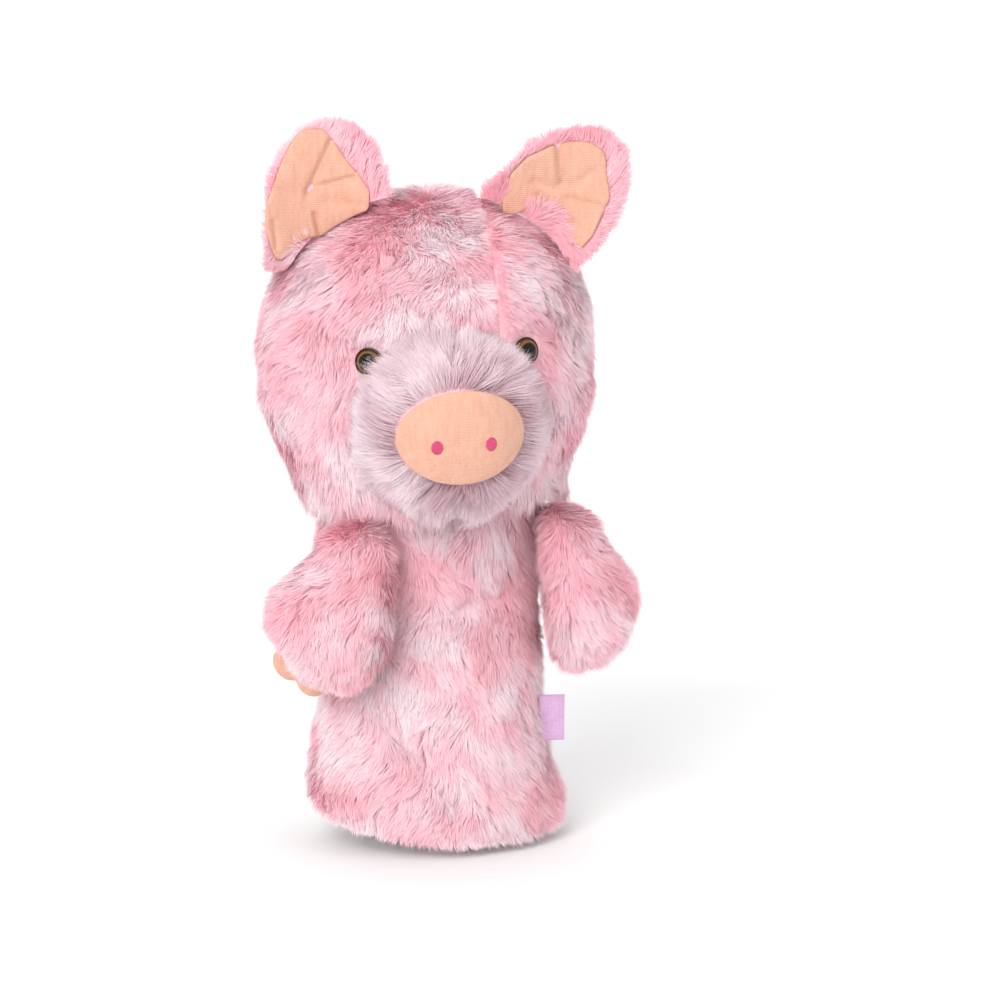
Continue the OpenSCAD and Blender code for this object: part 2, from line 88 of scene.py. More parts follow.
# ---- Camera ----------------------------------------------------------------------
AZIMUTH, ELEVATION = math.radians(-9), math.radians(10)
MM_PER_PIXEL, DISTANCE = 0.54, 2.3
back = Vector((math.sin(AZIMUTH) * math.cos(ELEVATION), -math.cos(AZIMUTH) * math.cos(ELEVATION),
               math.sin(ELEVATION)))
right = Vector((math.cos(AZIMUTH), math.sin(AZIMUTH), 0))
up = back.cross(right)
camera_data = bpy.data.cameras.new("camera")
camera_data.sensor_width = 36
camera_data.lens = 36 * DISTANCE / (1000 * MM_PER_PIXEL * MM)
camera_data.clip_end = 50
camera = bpy.data.objects.new("camera", camera_data)
bpy.context.scene.collection.objects.link(camera)
camera.rotation_mode = "QUATERNION"
camera.rotation_quaternion = back.to_track_quat("Z", "Y")
camera.location = right * 0.0367 + up * 0.0526 + back * DISTANCE
bpy.context.scene.camera = camera


# ---- Small tools -----------------------------------------------------------------
def mix(a, b, t):
    return a + (b - a) * t


def ease(t):
    c = np.clip(t, 0, 1)
    return c * c * (3 - 2 * c)


def unit(v):
    return v / np.maximum(np.linalg.norm(v, axis=-1, keepdims=True), 1e-9)


def stack(x, y, z):
    return np.stack(np.broadcast_arrays(x, y, z), axis=-1)


class Waves:
    """Smooth noise from -1 to 1 in space, the same at each run."""

    def __init__(self, seed, size, count=9):
        rng = np.random.default_rng(seed)
        self.k = unit(rng.normal(size=(count, 3))) * rng.uniform(0.6, 1.6, (count, 1)) * TAU / size
        self.phase = rng.uniform(0, TAU, count)
        self.scale = 1.7 / math.sqrt(count)

    def __call__(self, points):
        return np.clip(np.sin(points @ self.k.T + self.phase).sum(-1) * self.scale / 1.4, -1, 1)


def affine(matrix, points):
    m = np.array(matrix, float)
    return points @ m[:3, :3].T + m[:3, 3]


def about(axis, degrees):
    return Matrix.Rotation(math.radians(degrees), 4, axis)


LEAN = (Matrix.Translation((0, 0, NECK_Z)) @ about("Y", -HEAD_LEAN)
        @ Matrix.Translation((0, 0, -NECK_Z)))
MIRROR = Matrix.Scale(-1, 4, (1, 0, 0))


def add_mesh(name, points, faces, material, smooth=True):
    """A mesh object from points in millimetres and faces that all have the same number of corners."""
    points, faces = np.asarray(points, float), np.asarray(faces, np.int32)
    corners = faces.shape[1]
    mesh = bpy.data.meshes.new(name)
    mesh.vertices.add(len(points))
    mesh.vertices.foreach_set("co", (points * MM).astype(np.float32).ravel())
    mesh.loops.add(faces.size)
    mesh.loops.foreach_set("vertex_index", faces.ravel())
    mesh.polygons.add(len(faces))
    mesh.polygons.foreach_set("loop_start", np.arange(0, faces.size, corners, dtype=np.int32))
    mesh.polygons.foreach_set("loop_total", np.full(len(faces), corners, np.int32))
    mesh.polygons.foreach_set("use_smooth", np.full(len(faces), smooth))
    mesh.update(calc_edges=True)
    mesh.materials.append(material)
    piece = bpy.data.objects.new(name, mesh)
    bpy.context.scene.collection.objects.link(piece)
    return piece


def grid_faces(cols, rows, wrap, start=0):
    """Quads of a grid of points, seen anticlockwise where u runs right and v up."""
    i, j = np.meshgrid(np.arange(cols if wrap else cols - 1), np.arange(rows - 1))
    i, j = i.ravel(), j.ravel()
    k = (i + 1) % cols
    return start + np.stack([j * cols + i, j * cols + k, (j + 1) * cols + k, (j + 1) * cols + i], -1)


def grid_uv(cols, rows, wrap):
    u = np.arange(cols) / (cols if wrap else cols - 1)
    v = np.arange(rows) / (rows - 1)
    return [a.ravel() for a in np.meshgrid(u, v)]


def cloth(name, outer, inner, cols, rows, wrap, material):
    """Fabric between two surfaces of (u, v), closed along its edges."""
    u, v = grid_uv(cols, rows, wrap)
    k, t = cols * rows, cols * (rows - 1)
    faces = [grid_faces(cols, rows, wrap), grid_faces(cols, rows, wrap, k)[:, ::-1]]
    a = np.arange(cols if wrap else cols - 1)
    b = (a + 1) % cols
    faces.append(np.stack([b, a, k + a, k + b], -1))
    faces.append(np.stack([t + a, t + b, k + t + b, k + t + a], -1))
    if not wrap:
        low = np.arange(rows - 1) * cols
        high = low + cols - 1
        faces.append(np.stack([low, low + cols, k + low + cols, k + low], -1))
        faces.append(np.stack([high + cols, high, k + high, k + high + cols], -1))
    piece = add_mesh(name, np.concatenate([outer(u, v), inner(u, v)]), np.concatenate(faces), material)
    merge(piece)
    return piece


def closed_form(name, surface, cols, rows, material):
    """A solid with one skin: v runs from a pole to a pole, where all points meet."""
    u, v = grid_uv(cols, rows, True)
    piece = add_mesh(name, surface(u, v), grid_faces(cols, rows, True), material)
    merge(piece)
    return piece


def merge(piece, distance=1e-6):
    """Joins points that meet and turns all faces outward."""
    b = bmesh.new()
    b.from_mesh(piece.data)
    bmesh.ops.remove_doubles(b, verts=b.verts, dist=distance)
    bmesh.ops.dissolve_degenerate(b, edges=b.edges, dist=distance)
    bmesh.ops.recalc_face_normals(b, faces=b.faces)
    b.to_mesh(piece.data)
    b.free()


# ---- Materials -------------------------------------------------------------------
class Nodes:
    """Builds a material's node tree."""

    def __init__(self, name, **values):
        self.material = bpy.data.materials.new(name)
        self.material.use_nodes = True
        self.tree = self.material.node_tree
        self.shader = self.tree.nodes["Principled BSDF"]
        for key, value in values.items():
            self.shader.inputs[key.replace("_", " ")].default_value = value

    def add(self, kind, **inputs):
        node = self.tree.nodes.new("ShaderNode" + kind)
        for key, value in inputs.items():
            self.put(node, key.replace("_", " "), value)
        return node

    def put(self, node, key, value):
        if isinstance(value, bpy.types.NodeSocket):
            self.tree.links.new(value, node.inputs[key])
        else:
            node.inputs[key].default_value = value

    def math(self, operation, a, b=0.0, clamp=False):
        node = self.tree.nodes.new("ShaderNodeMath")
        node.operation, node.use_clamp = operation, clamp
        self.put(node, 0, a)
        self.put(node, 1, b)
        return node.outputs[0]

    def place(self):
        return self.add("TexCoord").outputs["Object"]

    def noise(self, scale, detail=2.0, roughness=0.5, vector=None):
        node = self.add("TexNoise", Vector=vector or self.place(), Scale=scale, Detail=detail,
                        Roughness=roughness)
        return node.outputs["Fac"]

    def stretched(self, x, y, z):
        node = self.add("Mapping", Vector=self.place(), Scale=(x, y, z))
        return node.outputs[0]

    def ramp(self, fac, *stops):
        node = self.add("ValToRGB", Fac=fac)
        elements = node.color_ramp.elements
        while len(elements) < len(stops):
            elements.new(0.5)
        for element, (at, colour) in zip(elements, stops):
            element.position, element.color = at, (*colour, 1)
        return node.outputs["Color"]

    def blend(self, fac, a, b, how="MIX"):
        node = self.tree.nodes.new("ShaderNodeMix")
        node.data_type, node.blend_type = "RGBA", how
        self.put(node, 0, fac)
        for index, value in ((6, a), (7, b)):
            if isinstance(value, tuple):
                value = (*value, 1)
            self.put(node, index, value)
        return node.outputs[2]

    def colour(self, socket):
        self.tree.links.new(socket, self.shader.inputs["Base Color"])

    def rough(self, socket):
        self.tree.links.new(socket, self.shader.inputs["Roughness"])

    def bump(self, height, strength, distance=0.001):
        node = self.add("Bump", Height=height, Strength=strength, Distance=distance)
        self.tree.links.new(node.outputs[0], self.shader.inputs["Normal"])


def plush_pile(name, root, middle, tip, shade):
    """Long pile: deep colour at the roots and in the partings, pale at the tips, with grey-mauve patches, and pale
    patches that are partly random tone and partly painted sheen.
    """
    n = Nodes(name, Roughness=0.6, Specular_IOR_Level=0.25, Sheen_Weight=0.12, Sheen_Roughness=0.5)
    strand = n.add("Attribute")
    strand.attribute_name = "pile"
    parts = n.add("SeparateColor", Color=strand.outputs["Color"])
    # The third channel holds the pale patches: partly random tone, partly painted sheen.
    along, own, patches_and_sheen = parts.outputs[0], parts.outputs[1], parts.outputs[2]
    tone = n.math("ADD", n.math("MULTIPLY", along, 0.26), n.math("MULTIPLY", patches_and_sheen, 0.66))
    tone = n.math("ADD", tone, n.math("MULTIPLY", n.math("SUBTRACT", own, 0.5), 0.08))
    fine = n.math("MULTIPLY", n.math("SUBTRACT", n.noise(160, 2.0, 0.6), 0.5), 0.16)
    tone = n.math("ADD", tone, fine, clamp=True)
    colour = n.ramp(tone, (0.08, root), (0.42, middle), (0.85, tip))
    mauve = n.math("MULTIPLY", n.math("SUBTRACT", n.noise(21, 2.0, 0.5), 0.52), 2.6, clamp=True)
    colour = n.blend(mauve, colour, shade, "MULTIPLY")
    n.colour(colour)
    n.rough(n.math("ADD", n.math("MULTIPLY", own, 0.2), 0.5))
    return n.material


def plush_backing(name, deep, light):
    """The dense roots of the pile, seen where it parts."""
    n = Nodes(name, Roughness=0.85, Sheen_Weight=0.3, Sheen_Roughness=0.5)
    fine = n.noise(900, 3.0, 0.7)
    n.colour(n.ramp(n.math("ADD", n.math("MULTIPLY", fine, 0.6), n.math("MULTIPLY", n.noise(60, 2.0), 0.5)),
                    (0.3, deep), (0.8, light)))
    n.rough(n.math("ADD", n.math("MULTIPLY", fine, 0.15), 0.78))
    n.bump(fine, 0.6, 0.0008)
    return n.material


def velour(name, deep, mid, light, ribs):
    """Short brushed pile with faint ribs, which catches light where it is brushed."""
    n = Nodes(name, Roughness=0.85, Specular_IOR_Level=0.2, Sheen_Weight=0.2, Sheen_Roughness=0.4)
    fine = n.noise(1500, 4.0, 0.75)
    brushed = n.noise(1.0, 3.0, 0.6, n.stretched(420, 420, 90))
    rib = n.add("TexWave", Vector=n.place(), Scale=ribs, Distortion=1.2, Detail=2.0)
    rib.bands_direction = "Z"
    rib.inputs["Detail Scale"].default_value = 2.0
    tone = n.math("ADD", n.math("MULTIPLY", fine, 0.45), n.math("MULTIPLY", brushed, 0.35))
    tone = n.math("ADD", tone, n.math("MULTIPLY", rib.outputs["Fac"], 0.10))
    n.colour(n.ramp(tone, (0.28, deep), (0.5, mid), (0.74, light)))
    n.rough(n.math("ADD", n.math("MULTIPLY", fine, 0.2), 0.68))
    height = n.math("ADD", n.math("MULTIPLY", fine, 0.6), n.math("MULTIPLY", rib.outputs["Fac"], 0.4))
    n.bump(height, 0.7, 0.0006)
    return n.material


def woven(name, dark, light, threads):
    """Plain weave: two sets of threads that pass over and under each other."""
    n = Nodes(name, Roughness=0.75, Sheen_Weight=0.2)
    across = n.add("TexWave", Vector=n.place(), Scale=threads, Distortion=0.3)
    along = n.add("TexWave", Vector=n.place(), Scale=threads, Distortion=0.3)
    along.bands_direction = "Z"
    cross = n.math("MULTIPLY", across.outputs["Fac"], along.outputs["Fac"])
    slub = n.noise(220, 3.0, 0.7)
    tone = n.math("ADD", n.math("MULTIPLY", cross, 0.5), n.math("MULTIPLY", slub, 0.5))
    n.colour(n.ramp(tone, (0.15, dark), (0.7, light)))
    n.rough(n.math("ADD", n.math("MULTIPLY", slub, 0.2), 0.62))
    n.bump(n.math("ADD", cross, n.math("MULTIPLY", slub, 0.3)), 0.5, 0.0004)
    return n.material


PINK_PILE = plush_pile("plush pile", (0.97, 0.47, 0.55), (0.98, 0.61, 0.68), (0.98, 0.84, 0.88),
                       (0.94, 0.90, 0.93))
PALE_PILE = plush_pile("pale plush pile", (0.62, 0.38, 0.43), (0.76, 0.57, 0.62), (0.92, 0.79, 0.83),
                       (0.86, 0.82, 0.88))
PINK_BACKING = plush_backing("plush backing", (0.93, 0.42, 0.49), (0.97, 0.56, 0.63))
PALE_BACKING = plush_backing("pale plush backing", (0.88, 0.50, 0.57), (0.94, 0.66, 0.73))
VELOUR = velour("peach velour", (0.64, 0.30, 0.20), (0.73, 0.42, 0.31), (0.80, 0.50, 0.38), 300)
LINING = woven("woven lining", (0.62, 0.61, 0.60), (0.86, 0.85, 0.83), 330)
FACING = woven("knitted backing", (0.70, 0.40, 0.46), (0.90, 0.64, 0.69), 260)


def fibre_fill():
    n = Nodes("fibre fill", Roughness=0.95, Sheen_Weight=0.4)
    wool = n.noise(260, 6.0, 0.8)
    n.colour(n.ramp(wool, (0.3, (0.66, 0.66, 0.65)), (0.7, (0.92, 0.92, 0.9))))
    n.bump(wool, 0.9, 0.002)
    return n.material


def thread(name, dark, light):
    """Shiny embroidery thread."""
    n = Nodes(name, Roughness=0.4, Specular_IOR_Level=0.6, Sheen_Weight=0.2)
    twist = n.noise(1.0, 2.0, 0.5, n.stretched(3000, 3000, 700))
    n.colour(n.ramp(twist, (0.3, dark), (0.7, light)))
    n.rough(n.math("ADD", n.math("MULTIPLY", twist, 0.2), 0.32))
    n.bump(twist, 0.4, 0.0002)
    return n.material


def eye_plastic():
    """Glossy safety eye: dark pupil, amber iris and brown rim, by distance from its middle."""
    n = Nodes("eye plastic", Roughness=0.2, Coat_Weight=0.15, Coat_Roughness=0.05, IOR=1.35,
              Specular_IOR_Level=0.3)
    ring = n.add("Attribute")
    ring.attribute_name = "ring"
    streak = n.noise(900, 3.0, 0.6)
    at = n.math("ADD", ring.outputs["Fac"], n.math("MULTIPLY", n.math("SUBTRACT", streak, 0.5), 0.05))
    n.colour(n.ramp(at, (0.0, (0.004, 0.003, 0.003)), (0.60, (0.006, 0.004, 0.003)),
                    (0.66, (0.10, 0.040, 0.010)), (0.74, (0.26, 0.115, 0.028)),
                    (0.82, (0.10, 0.040, 0.013)), (0.88, (0.03, 0.012, 0.007))))
    n.rough(n.math("ADD", n.math("MULTIPLY", streak, 0.05), 0.08))
    return n.material


def moulded(name, dark, light):
    n = Nodes(name, Roughness=0.45)
    grain = n.noise(700, 3.0, 0.6)
    n.colour(n.ramp(grain, (0.3, dark), (0.7, light)))
    n.rough(n.math("ADD", n.math("MULTIPLY", grain, 0.2), 0.35))
    n.bump(grain, 0.15, 0.0002)
    return n.material


def elastic():
    """Shirred elastic: fine rubber cords side by side under a knitted face."""
    n = Nodes("white elastic", Roughness=0.7, Sheen_Weight=0.2)
    cords = n.add("TexWave", Vector=n.place(), Scale=260, Distortion=0.5)
    cords.bands_direction = "Z"
    knit = n.noise(900, 3.0, 0.7)
    tone = n.math("ADD", n.math("MULTIPLY", cords.outputs["Fac"], 0.5), n.math("MULTIPLY", knit, 0.5))
    n.colour(n.ramp(tone, (0.2, (0.60, 0.60, 0.60)), (0.75, (0.90, 0.90, 0.89))))
    n.rough(n.math("ADD", n.math("MULTIPLY", knit, 0.2), 0.6))
    n.bump(tone, 0.6, 0.0005)
    return n.material


FILL = fibre_fill()
MAGENTA = thread("magenta thread", (0.42, 0.02, 0.09), (0.76, 0.07, 0.22))
PEACH_THREAD = thread("peach thread", (0.78, 0.38, 0.24), (0.95, 0.62, 0.44))
EYE = eye_plastic()
WASHER = moulded("washer plastic", (0.66, 0.66, 0.64), (0.84, 0.84, 0.82))
ELASTIC = elastic()
RIBBON = woven("ribbon", (0.50, 0.28, 0.50), (0.74, 0.50, 0.72), 420)
RIBBON_THREAD = thread("ribbon thread", (0.50, 0.26, 0.48), (0.80, 0.58, 0.80))


# ---- Pile ------------------------------------------------------------------------
STRAND_STEPS = np.array([0, 0.5, 1.0])
STRAND_WIDTH = np.array([1.0, 0.85])
STRAND_FACES = np.array([[0, 1, 3], [0, 3, 2], [2, 3, 4]])
swirl_wide, swirl_fine = Waves(11, 52), Waves(12, 17)
height_waves = Waves(13, 30)
# Waves for the pile's pale patches: partly random tone, partly painted sheen.
tone_and_sheen_waves, fine_tone_and_sheen_waves = Waves(14, 58), Waves(15, 21)


def sample(surface, count, rng, cells=90):
    """Points spread evenly by area on a surface of (u, v), with their normals and (u, v)."""
    u, v = np.meshgrid(np.linspace(0, 1, cells + 1), np.linspace(0, 1, cells + 1))
    p = surface(u.ravel(), v.ravel()).reshape(cells + 1, cells + 1, 3)
    a, b = p[:-1, 1:] - p[:-1, :-1], p[1:, :-1] - p[:-1, :-1]
    area = np.linalg.norm(np.cross(a, b), axis=-1).ravel()
    cell = rng.choice(len(area), count, p=area / area.sum())
    su = (cell % cells + rng.random(count)) / cells
    sv = (cell // cells + rng.random(count)) / cells
    h = 1e-3
    p = surface(su, sv)
    du = surface(np.minimum(su + h, 1), sv) - surface(np.maximum(su - h, 0), sv)
    dv = surface(su, np.minimum(sv + h, 1)) - surface(su, np.maximum(sv - h, 0))
    return p, unit(np.cross(du, dv)), su, sv, area.sum()


def surface_area(surface, cells=60):
    u, v = np.meshgrid(np.linspace(0, 1, cells + 1), np.linspace(0, 1, cells + 1))
    p = surface(u.ravel(), v.ravel()).reshape(cells + 1, cells + 1, 3)
    return np.linalg.norm(np.cross(p[:-1, 1:] - p[:-1, :-1], p[1:, :-1] - p[:-1, :-1]), axis=-1).sum()


def pile(name, surface, material, seed, flow, density=3.4, length=9.0, root_lift=55, tip_lift=18,
         width=0.32, lock_size=6.0, keep=None, scale=None, pull=0.26, swirl=0.5, wild=0.35, flip=False,
         tone=0.0):
    """Strands of pile on a surface.

    flow gives the way they lie, keep drops some, scale shortens them, and tone shifts their colour paler or deeper,
    which for some callers is painted shade.
    """
    rng = np.random.default_rng(seed)
    area = surface_area(surface)
    p, n, u, v, area = sample(surface, int(area * density), rng)
    n = -n if flip else n
    if keep is not None:
        kept = keep(u, v, p)
        p, n, u, v = p[kept], n[kept], u[kept], v[kept]
    count = len(p)
    lie = flow(u, v, p, n)
    lie = unit(lie - n * (lie * n).sum(-1, keepdims=True))
    side = np.cross(n, lie)
    # Locks: strands near a lock's middle share its turn, lift and colour, and lean to its tip
    locks = max(4, int(area / lock_size ** 2))
    heads = rng.choice(count, min(locks, count), replace=False)
    tree = KDTree(len(heads))
    for i, at in enumerate(p[heads]):
        tree.insert(at, i)
    tree.balance()
    lock = np.fromiter((tree.find(at)[1] for at in p), int, count)
    lock_turn, lock_lift, lock_long = (rng.normal(0, s, len(heads)) for s in (0.18, 3.0, 0.06))
    lock_tone = rng.random(len(heads))
    lone = rng.random(count) < wild
    turn = swirl * (swirl_wide(p) + 0.45 * swirl_fine(p)) + lock_turn[lock] + rng.normal(0, 0.12, count)
    lie = lie * np.cos(turn)[:, None] + side * np.sin(turn)[:, None]
    long = length * (1 + lock_long[lock] + rng.normal(0, 0.12, count) + 0.12 * lone)
    long *= 1 + 0.12 * height_waves(p)
    if scale is not None:
        long *= scale(u, v, p)
    low, high = np.radians(tip_lift), np.radians(root_lift)
    extra = np.radians(lock_lift[lock] + rng.normal(0, 5, count) + 4 * lone)
    # The strand's line, one step at a time, as its lift falls from root to tip
    line, at = [p - n * 0.4], p - n * 0.4
    for k in range(2):
        t = (STRAND_STEPS[k] + STRAND_STEPS[k + 1]) / 2
        lift = mix(high, low, t ** 0.7) + extra
        step = (STRAND_STEPS[k + 1] - STRAND_STEPS[k]) * long
        at = at + (lie * np.cos(lift)[:, None] + n * np.sin(lift)[:, None]) * step[:, None]
        line.append(at)
    line = np.stack(line, 1)
    hold = pull * rng.uniform(0.6, 1.1, count) * np.where(lone, 0.25, 1.0)
    for k in (1, 2):
        goal = line[heads[lock], k]
        line[:, k] += (goal - line[:, k]) * (hold * STRAND_STEPS[k] ** 1.4)[:, None]
    way = unit(line[:, 2] - line[:, 0])
    wide = unit(np.cross(n, way))
    roll = rng.normal(0, 0.5, count)[:, None]
    wide = wide * np.cos(roll) + np.cross(way, wide) * np.sin(roll)
    half = width / 2 * rng.uniform(0.75, 1.25, count) * np.where(lone, 0.6, 1.0)
    points = np.empty((count, 5, 3))
    for k in range(2):
        w = wide * (half * STRAND_WIDTH[k])[:, None]
        points[:, 2 * k], points[:, 2 * k + 1] = line[:, k] + w, line[:, k] - w
    points[:, 4] = line[:, 2]
    faces = (np.arange(count)[:, None, None] * 5 + STRAND_FACES).reshape(-1, 3)
    piece = add_mesh(name, points.reshape(-1, 3), faces, material)
    tint = np.ones((count, 5, 4), np.float32)
    tint[..., 0] = STRAND_STEPS[[0, 0, 1, 1, 2]]
    tint[..., 1] = rng.random(count)[:, None]
    # Pale patches: partly random tone, partly painted sheen that follows the swirl of the pile.
    patches_and_sheen = (0.5 + 0.26 * tone_and_sheen_waves(p) + 0.12 * fine_tone_and_sheen_waves(p) + 0.10 * swirl_fine(p)
             + 0.18 * (lock_tone[lock] - 0.5) + (tone(p) if callable(tone) else tone))
    tint[..., 2] = np.clip(patches_and_sheen, 0, 1)[:, None]
    attribute = piece.data.attributes.new("pile", "FLOAT_COLOR", "POINT")
    attribute.data.foreach_set("color", tint.ravel())
    # Each strand is lit as part of the coat, so the coat looks soft
    soft = unit(0.7 * n + 0.45 * np.cross(way, wide))
    piece.data.normals_split_custom_set_from_vertices(np.repeat(soft, 5, axis=0))
    return piece


def along_axis(x, y, z):
    direction = np.array([x, y, z], float)
    return lambda u, v, p, n: np.broadcast_to(direction, p.shape)


# ---- Sleeve ----------------------------------------------------------------------
def sleeve_half(z, hem, waist, top):
    low = mix(waist, hem, np.clip(-z / (HEM_DROP + HEM_DIP), 0, None) ** 1.7)
    return np.where(z < 0, low, mix(waist, top, ease(z / NECK_Z))) / 2


def crease(x, z, start, end, wide):
    """How near (x, z) is to a line, from 0 to 1."""
    a, b = np.array(start, float), np.array(end, float)
    d = b - a
    t = np.clip(((x - a[0]) * d[0] + (z - a[1]) * d[1]) / (d @ d), 0, 1)
    off = (x - a[0] - d[0] * t) ** 2 + (z - a[1] - d[1] * t) ** 2
    return np.exp(-off / wide ** 2)


sag_waves = Waves(21, 75)


def folds(angle, x, z):
    """How far the sleeve's cloth stands in from its plain shape: folds, and the pinch at the band."""
    front = np.cos(angle) > 0
    depth = 4.5 * crease(x, z, (-26, -69), (6, -103), 6)
    depth = depth + 2.5 * crease(x, z, (-34, -56), (-24, -70), 5)
    depth = depth + 2.5 * crease(x, z, (6, 6), (34, 10), 6) - 2 * crease(x, z, (0, -84), (26, -60), 16)
    depth = np.where(front, depth, 2.5 * crease(x, z, (-20, -20), (25, -45), 9))
    spot = stack(60 * np.sin(angle), 60 * np.cos(angle), z)
    return depth + 1.6 * sag_waves(spot) + 2.0 * np.exp(-(z / 16) ** 2)


def sleeve_at(angle, z, inward, fold=1.0):
    x = (sleeve_half(z, HEM_W, WAIST_W, TOP_W)) * np.sin(angle)
    inward = inward + fold * folds(angle, x, z) * (1 - ease((z - 40) / 18))
    return stack((sleeve_half(z, HEM_W, WAIST_W, TOP_W) - inward) * np.sin(angle),
                 -(sleeve_half(z, HEM_D, WAIST_D, TOP_D) - inward) * np.cos(angle), z)


def hem_z(angle):
    return -HEM_DROP - HEM_DIP * (1 + np.cos(angle - math.radians(30))) / 2


def sleeve_wall(start, end, inward, top=SLEEVE_TOP):
    def surface(u, v):
        angle = np.radians(mix(start, end, u))
        return sleeve_at(angle, mix(hem_z(angle) + 3, top, v), inward)
    return surface


def ride_sleeve(piece):
    """Bakes the piece's placement into its mesh."""
    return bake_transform(piece)


NECK_SIDE = 50                             # above this the sleeve's pile lies flat under the head


def sleeve_length(u, v, p):
    return (1 - 0.55 * ease((p[:, 2] - NECK_SIDE + 8) / 14)) * (0.6 + 0.4 * ease(v / 0.08))


def sleeve_tone(p):
    """Deeper pink under the chin."""
    return 0.05 - 0.12 * ease((p[:, 2] + 20) / 45)


def sleeve_panel(name, node, start, end, seed):
    skin = cloth(name, sleeve_wall(start, end, SKIN), sleeve_wall(start, end, FUR_T), 72, 60, False,
                 PINK_BACKING)
    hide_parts(node)
    ride_sleeve(skin)
    coat = pile(name + "_pile", sleeve_wall(start, end, SKIN, NECK_Z), PINK_PILE, seed,
                along_axis(0, 0, -1), length=9.5,
                scale=sleeve_length, tone=sleeve_tone)
    ride_sleeve(coat)


sleeve_panel("front_sleeve", "front_sleeve_panel", -89.8, 89.8, 101)
sleeve_panel("back_sleeve", "back_sleeve_panel", 90.2, 269.8, 102)


# ---- Head ------------------------------------------------------------------------
def level_share(level):
    return np.where(level < 0, mix(NECK_SHARE, 1, np.cos(level)), np.cos(level))


def level_z(level, inward):
    return np.where(level < 0, CHEEK_Z + (CHEEK_Z - NECK_Z) * level / (math.pi / 2),
                    CHEEK_Z + (CROWN_H - inward) * np.sin(level))


head_waves = Waves(31, 70)


def head_at(angle, level, inward):
    share = level_share(level)
    plain = stack(share * np.sin(angle), -share * np.cos(angle), np.sin(level))
    inward = inward + 1.5 * head_waves(plain * 80)
    return affine(LEAN, stack((HEAD_W / 2 - inward) * share * np.sin(angle),
                              -(HEAD_D / 2 - inward) * share * np.cos(angle), level_z(level, inward)))


def seam_angle(level, x):
    return np.arcsin(np.minimum(0.999, x / (HEAD_W / 2 * level_share(level))))


TOP_LEVEL = math.acos((GUSSET_W / 2 + 1.5) / (HEAD_W / 2))


def side_wall(side, inward):
    def surface(u, v):
        level = mix(-math.pi / 2, TOP_LEVEL, v)
        a = seam_angle(level, GUSSET_W / 2 + GAP / 2)
        angle = mix(a, math.pi - a, u) if side > 0 else mix(a - math.pi, -a, u)
        return head_at(angle, level, inward)
    return surface


def strip(inward):
    def surface(u, v):
        x = mix(-1, 1, u) * (GUSSET_W / 2 - GAP / 2)
        a = np.radians(mix(7, 179, v))
        k = np.sqrt(1 - (2 * x / HEAD_W) ** 2)
        plain = stack(x / 90, -np.cos(a) * k, np.sin(a) * k)
        deep = inward + 1.5 * head_waves(plain * 80)
        return affine(LEAN, stack(x * (1 - 2 * deep / HEAD_W), -(HEAD_D / 2 - deep) * k * np.cos(a),
                                  CHEEK_Z + (CROWN_H - deep) * k * np.sin(a)))
    return surface


def lower_strip(middle_angle, start, end, inward):
    def surface(u, v):
        level = np.radians(mix(start, end, v))
        a = seam_angle(level, GUSSET_W / 2 - GAP / 2)
        return head_at(math.radians(middle_angle) + mix(-a, a, u), level, inward)
    return surface


def unleaned(p):
    return affine(LEAN.inverted(), p)


def head_flow(u, v, p, n):
    q = unleaned(p)
    out = np.sign(q[:, 0]) * np.clip(np.abs(q[:, 0]) / 90, 0, 1) * 0.5
    behind = np.clip((q[:, 2] - CHEEK_Z - 60) / 40, 0, 1) * 0.4
    return stack(out, behind - 0.1, -1)


def eye_distance(p):
    """How far a point of the face is from the nearer eye."""
    q = unleaned(p)
    off = np.hypot(np.abs(q[:, 0] - FACE_X) - EYE_GAP / 2, q[:, 2] - EYE_Z)
    return np.where(q[:, 1] < 0, off, 99)


def near_seam(u, v, p):
    x = unleaned(p)[:, 0]
    short = np.where(x > 0, 0.12, 0.75)
    off = np.abs(np.abs(x) - GUSSET_W / 2)
    drape = 1 + 0.6 * ease((NECK_Z + 16 - p[:, 2]) / 12)
    return drape * mix(short, 1, ease(off / 8)) * (0.3 + 0.7 * ease((eye_distance(p) - 7) / 12))


def head_tone_and_seam_shade(p):
    """Deeper along the seam over the animal's left brow: partly the deep pink of the parted roots, partly painted
    shade in the seam's valley.
    """
    return 0.04 - 0.55 * np.exp(-((unleaned(p)[:, 0] - GUSSET_W / 2) / 3.2) ** 2)


def under_muzzle(p, margin=6.0):
    """True where the muzzle covers the face."""
    q = unleaned(p)
    r = (2 * (q[:, 0] - FACE_X) / MUZZLE_W) ** 2 + (2 * (q[:, 2] - MUZZLE_Z) / MUZZLE_H) ** 2
    return (r < (1 - 2 * margin / MUZZLE_W) ** 2) & (q[:, 1] < 0)


def on_head(u, v, p):
    return ~under_muzzle(p) & (eye_distance(p) > EYE_R - 0.8)


def head_panel(name, node, outer, inner, cols, rows, seed, **pile_values):
    skin = cloth(name, outer, inner, cols, rows, False, PINK_BACKING)
    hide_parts(node)
    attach(skin, "head")
    coat = pile(name + "_pile", outer, PINK_PILE, seed, head_flow, keep=on_head, scale=near_seam,
                tone=head_tone_and_seam_shade, **pile_values)
    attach(coat, "head")
    return skin


head_panel("left_head_side_plush", "left_head_side", side_wall(1, SKIN), side_wall(1, FUR_T), 60, 60, 111)
head_panel("right_head_side_plush", "right_head_side", side_wall(-1, SKIN), side_wall(-1, FUR_T), 60, 60,
           112)
head_panel("forehead_gusset_plush", "forehead_gusset", strip(SKIN), strip(FUR_T), 24, 80, 113)
head_panel("nape_panel_plush", "nape_panel", lower_strip(180, -90, -1, SKIN),
           lower_strip(180, -90, -1, FUR_T), 24, 30, 114)
head_panel("throat_panel_plush", "throat_panel", lower_strip(0, -90, -40, SKIN),
           lower_strip(0, -90, -40, FUR_T), 24, 20, 115)


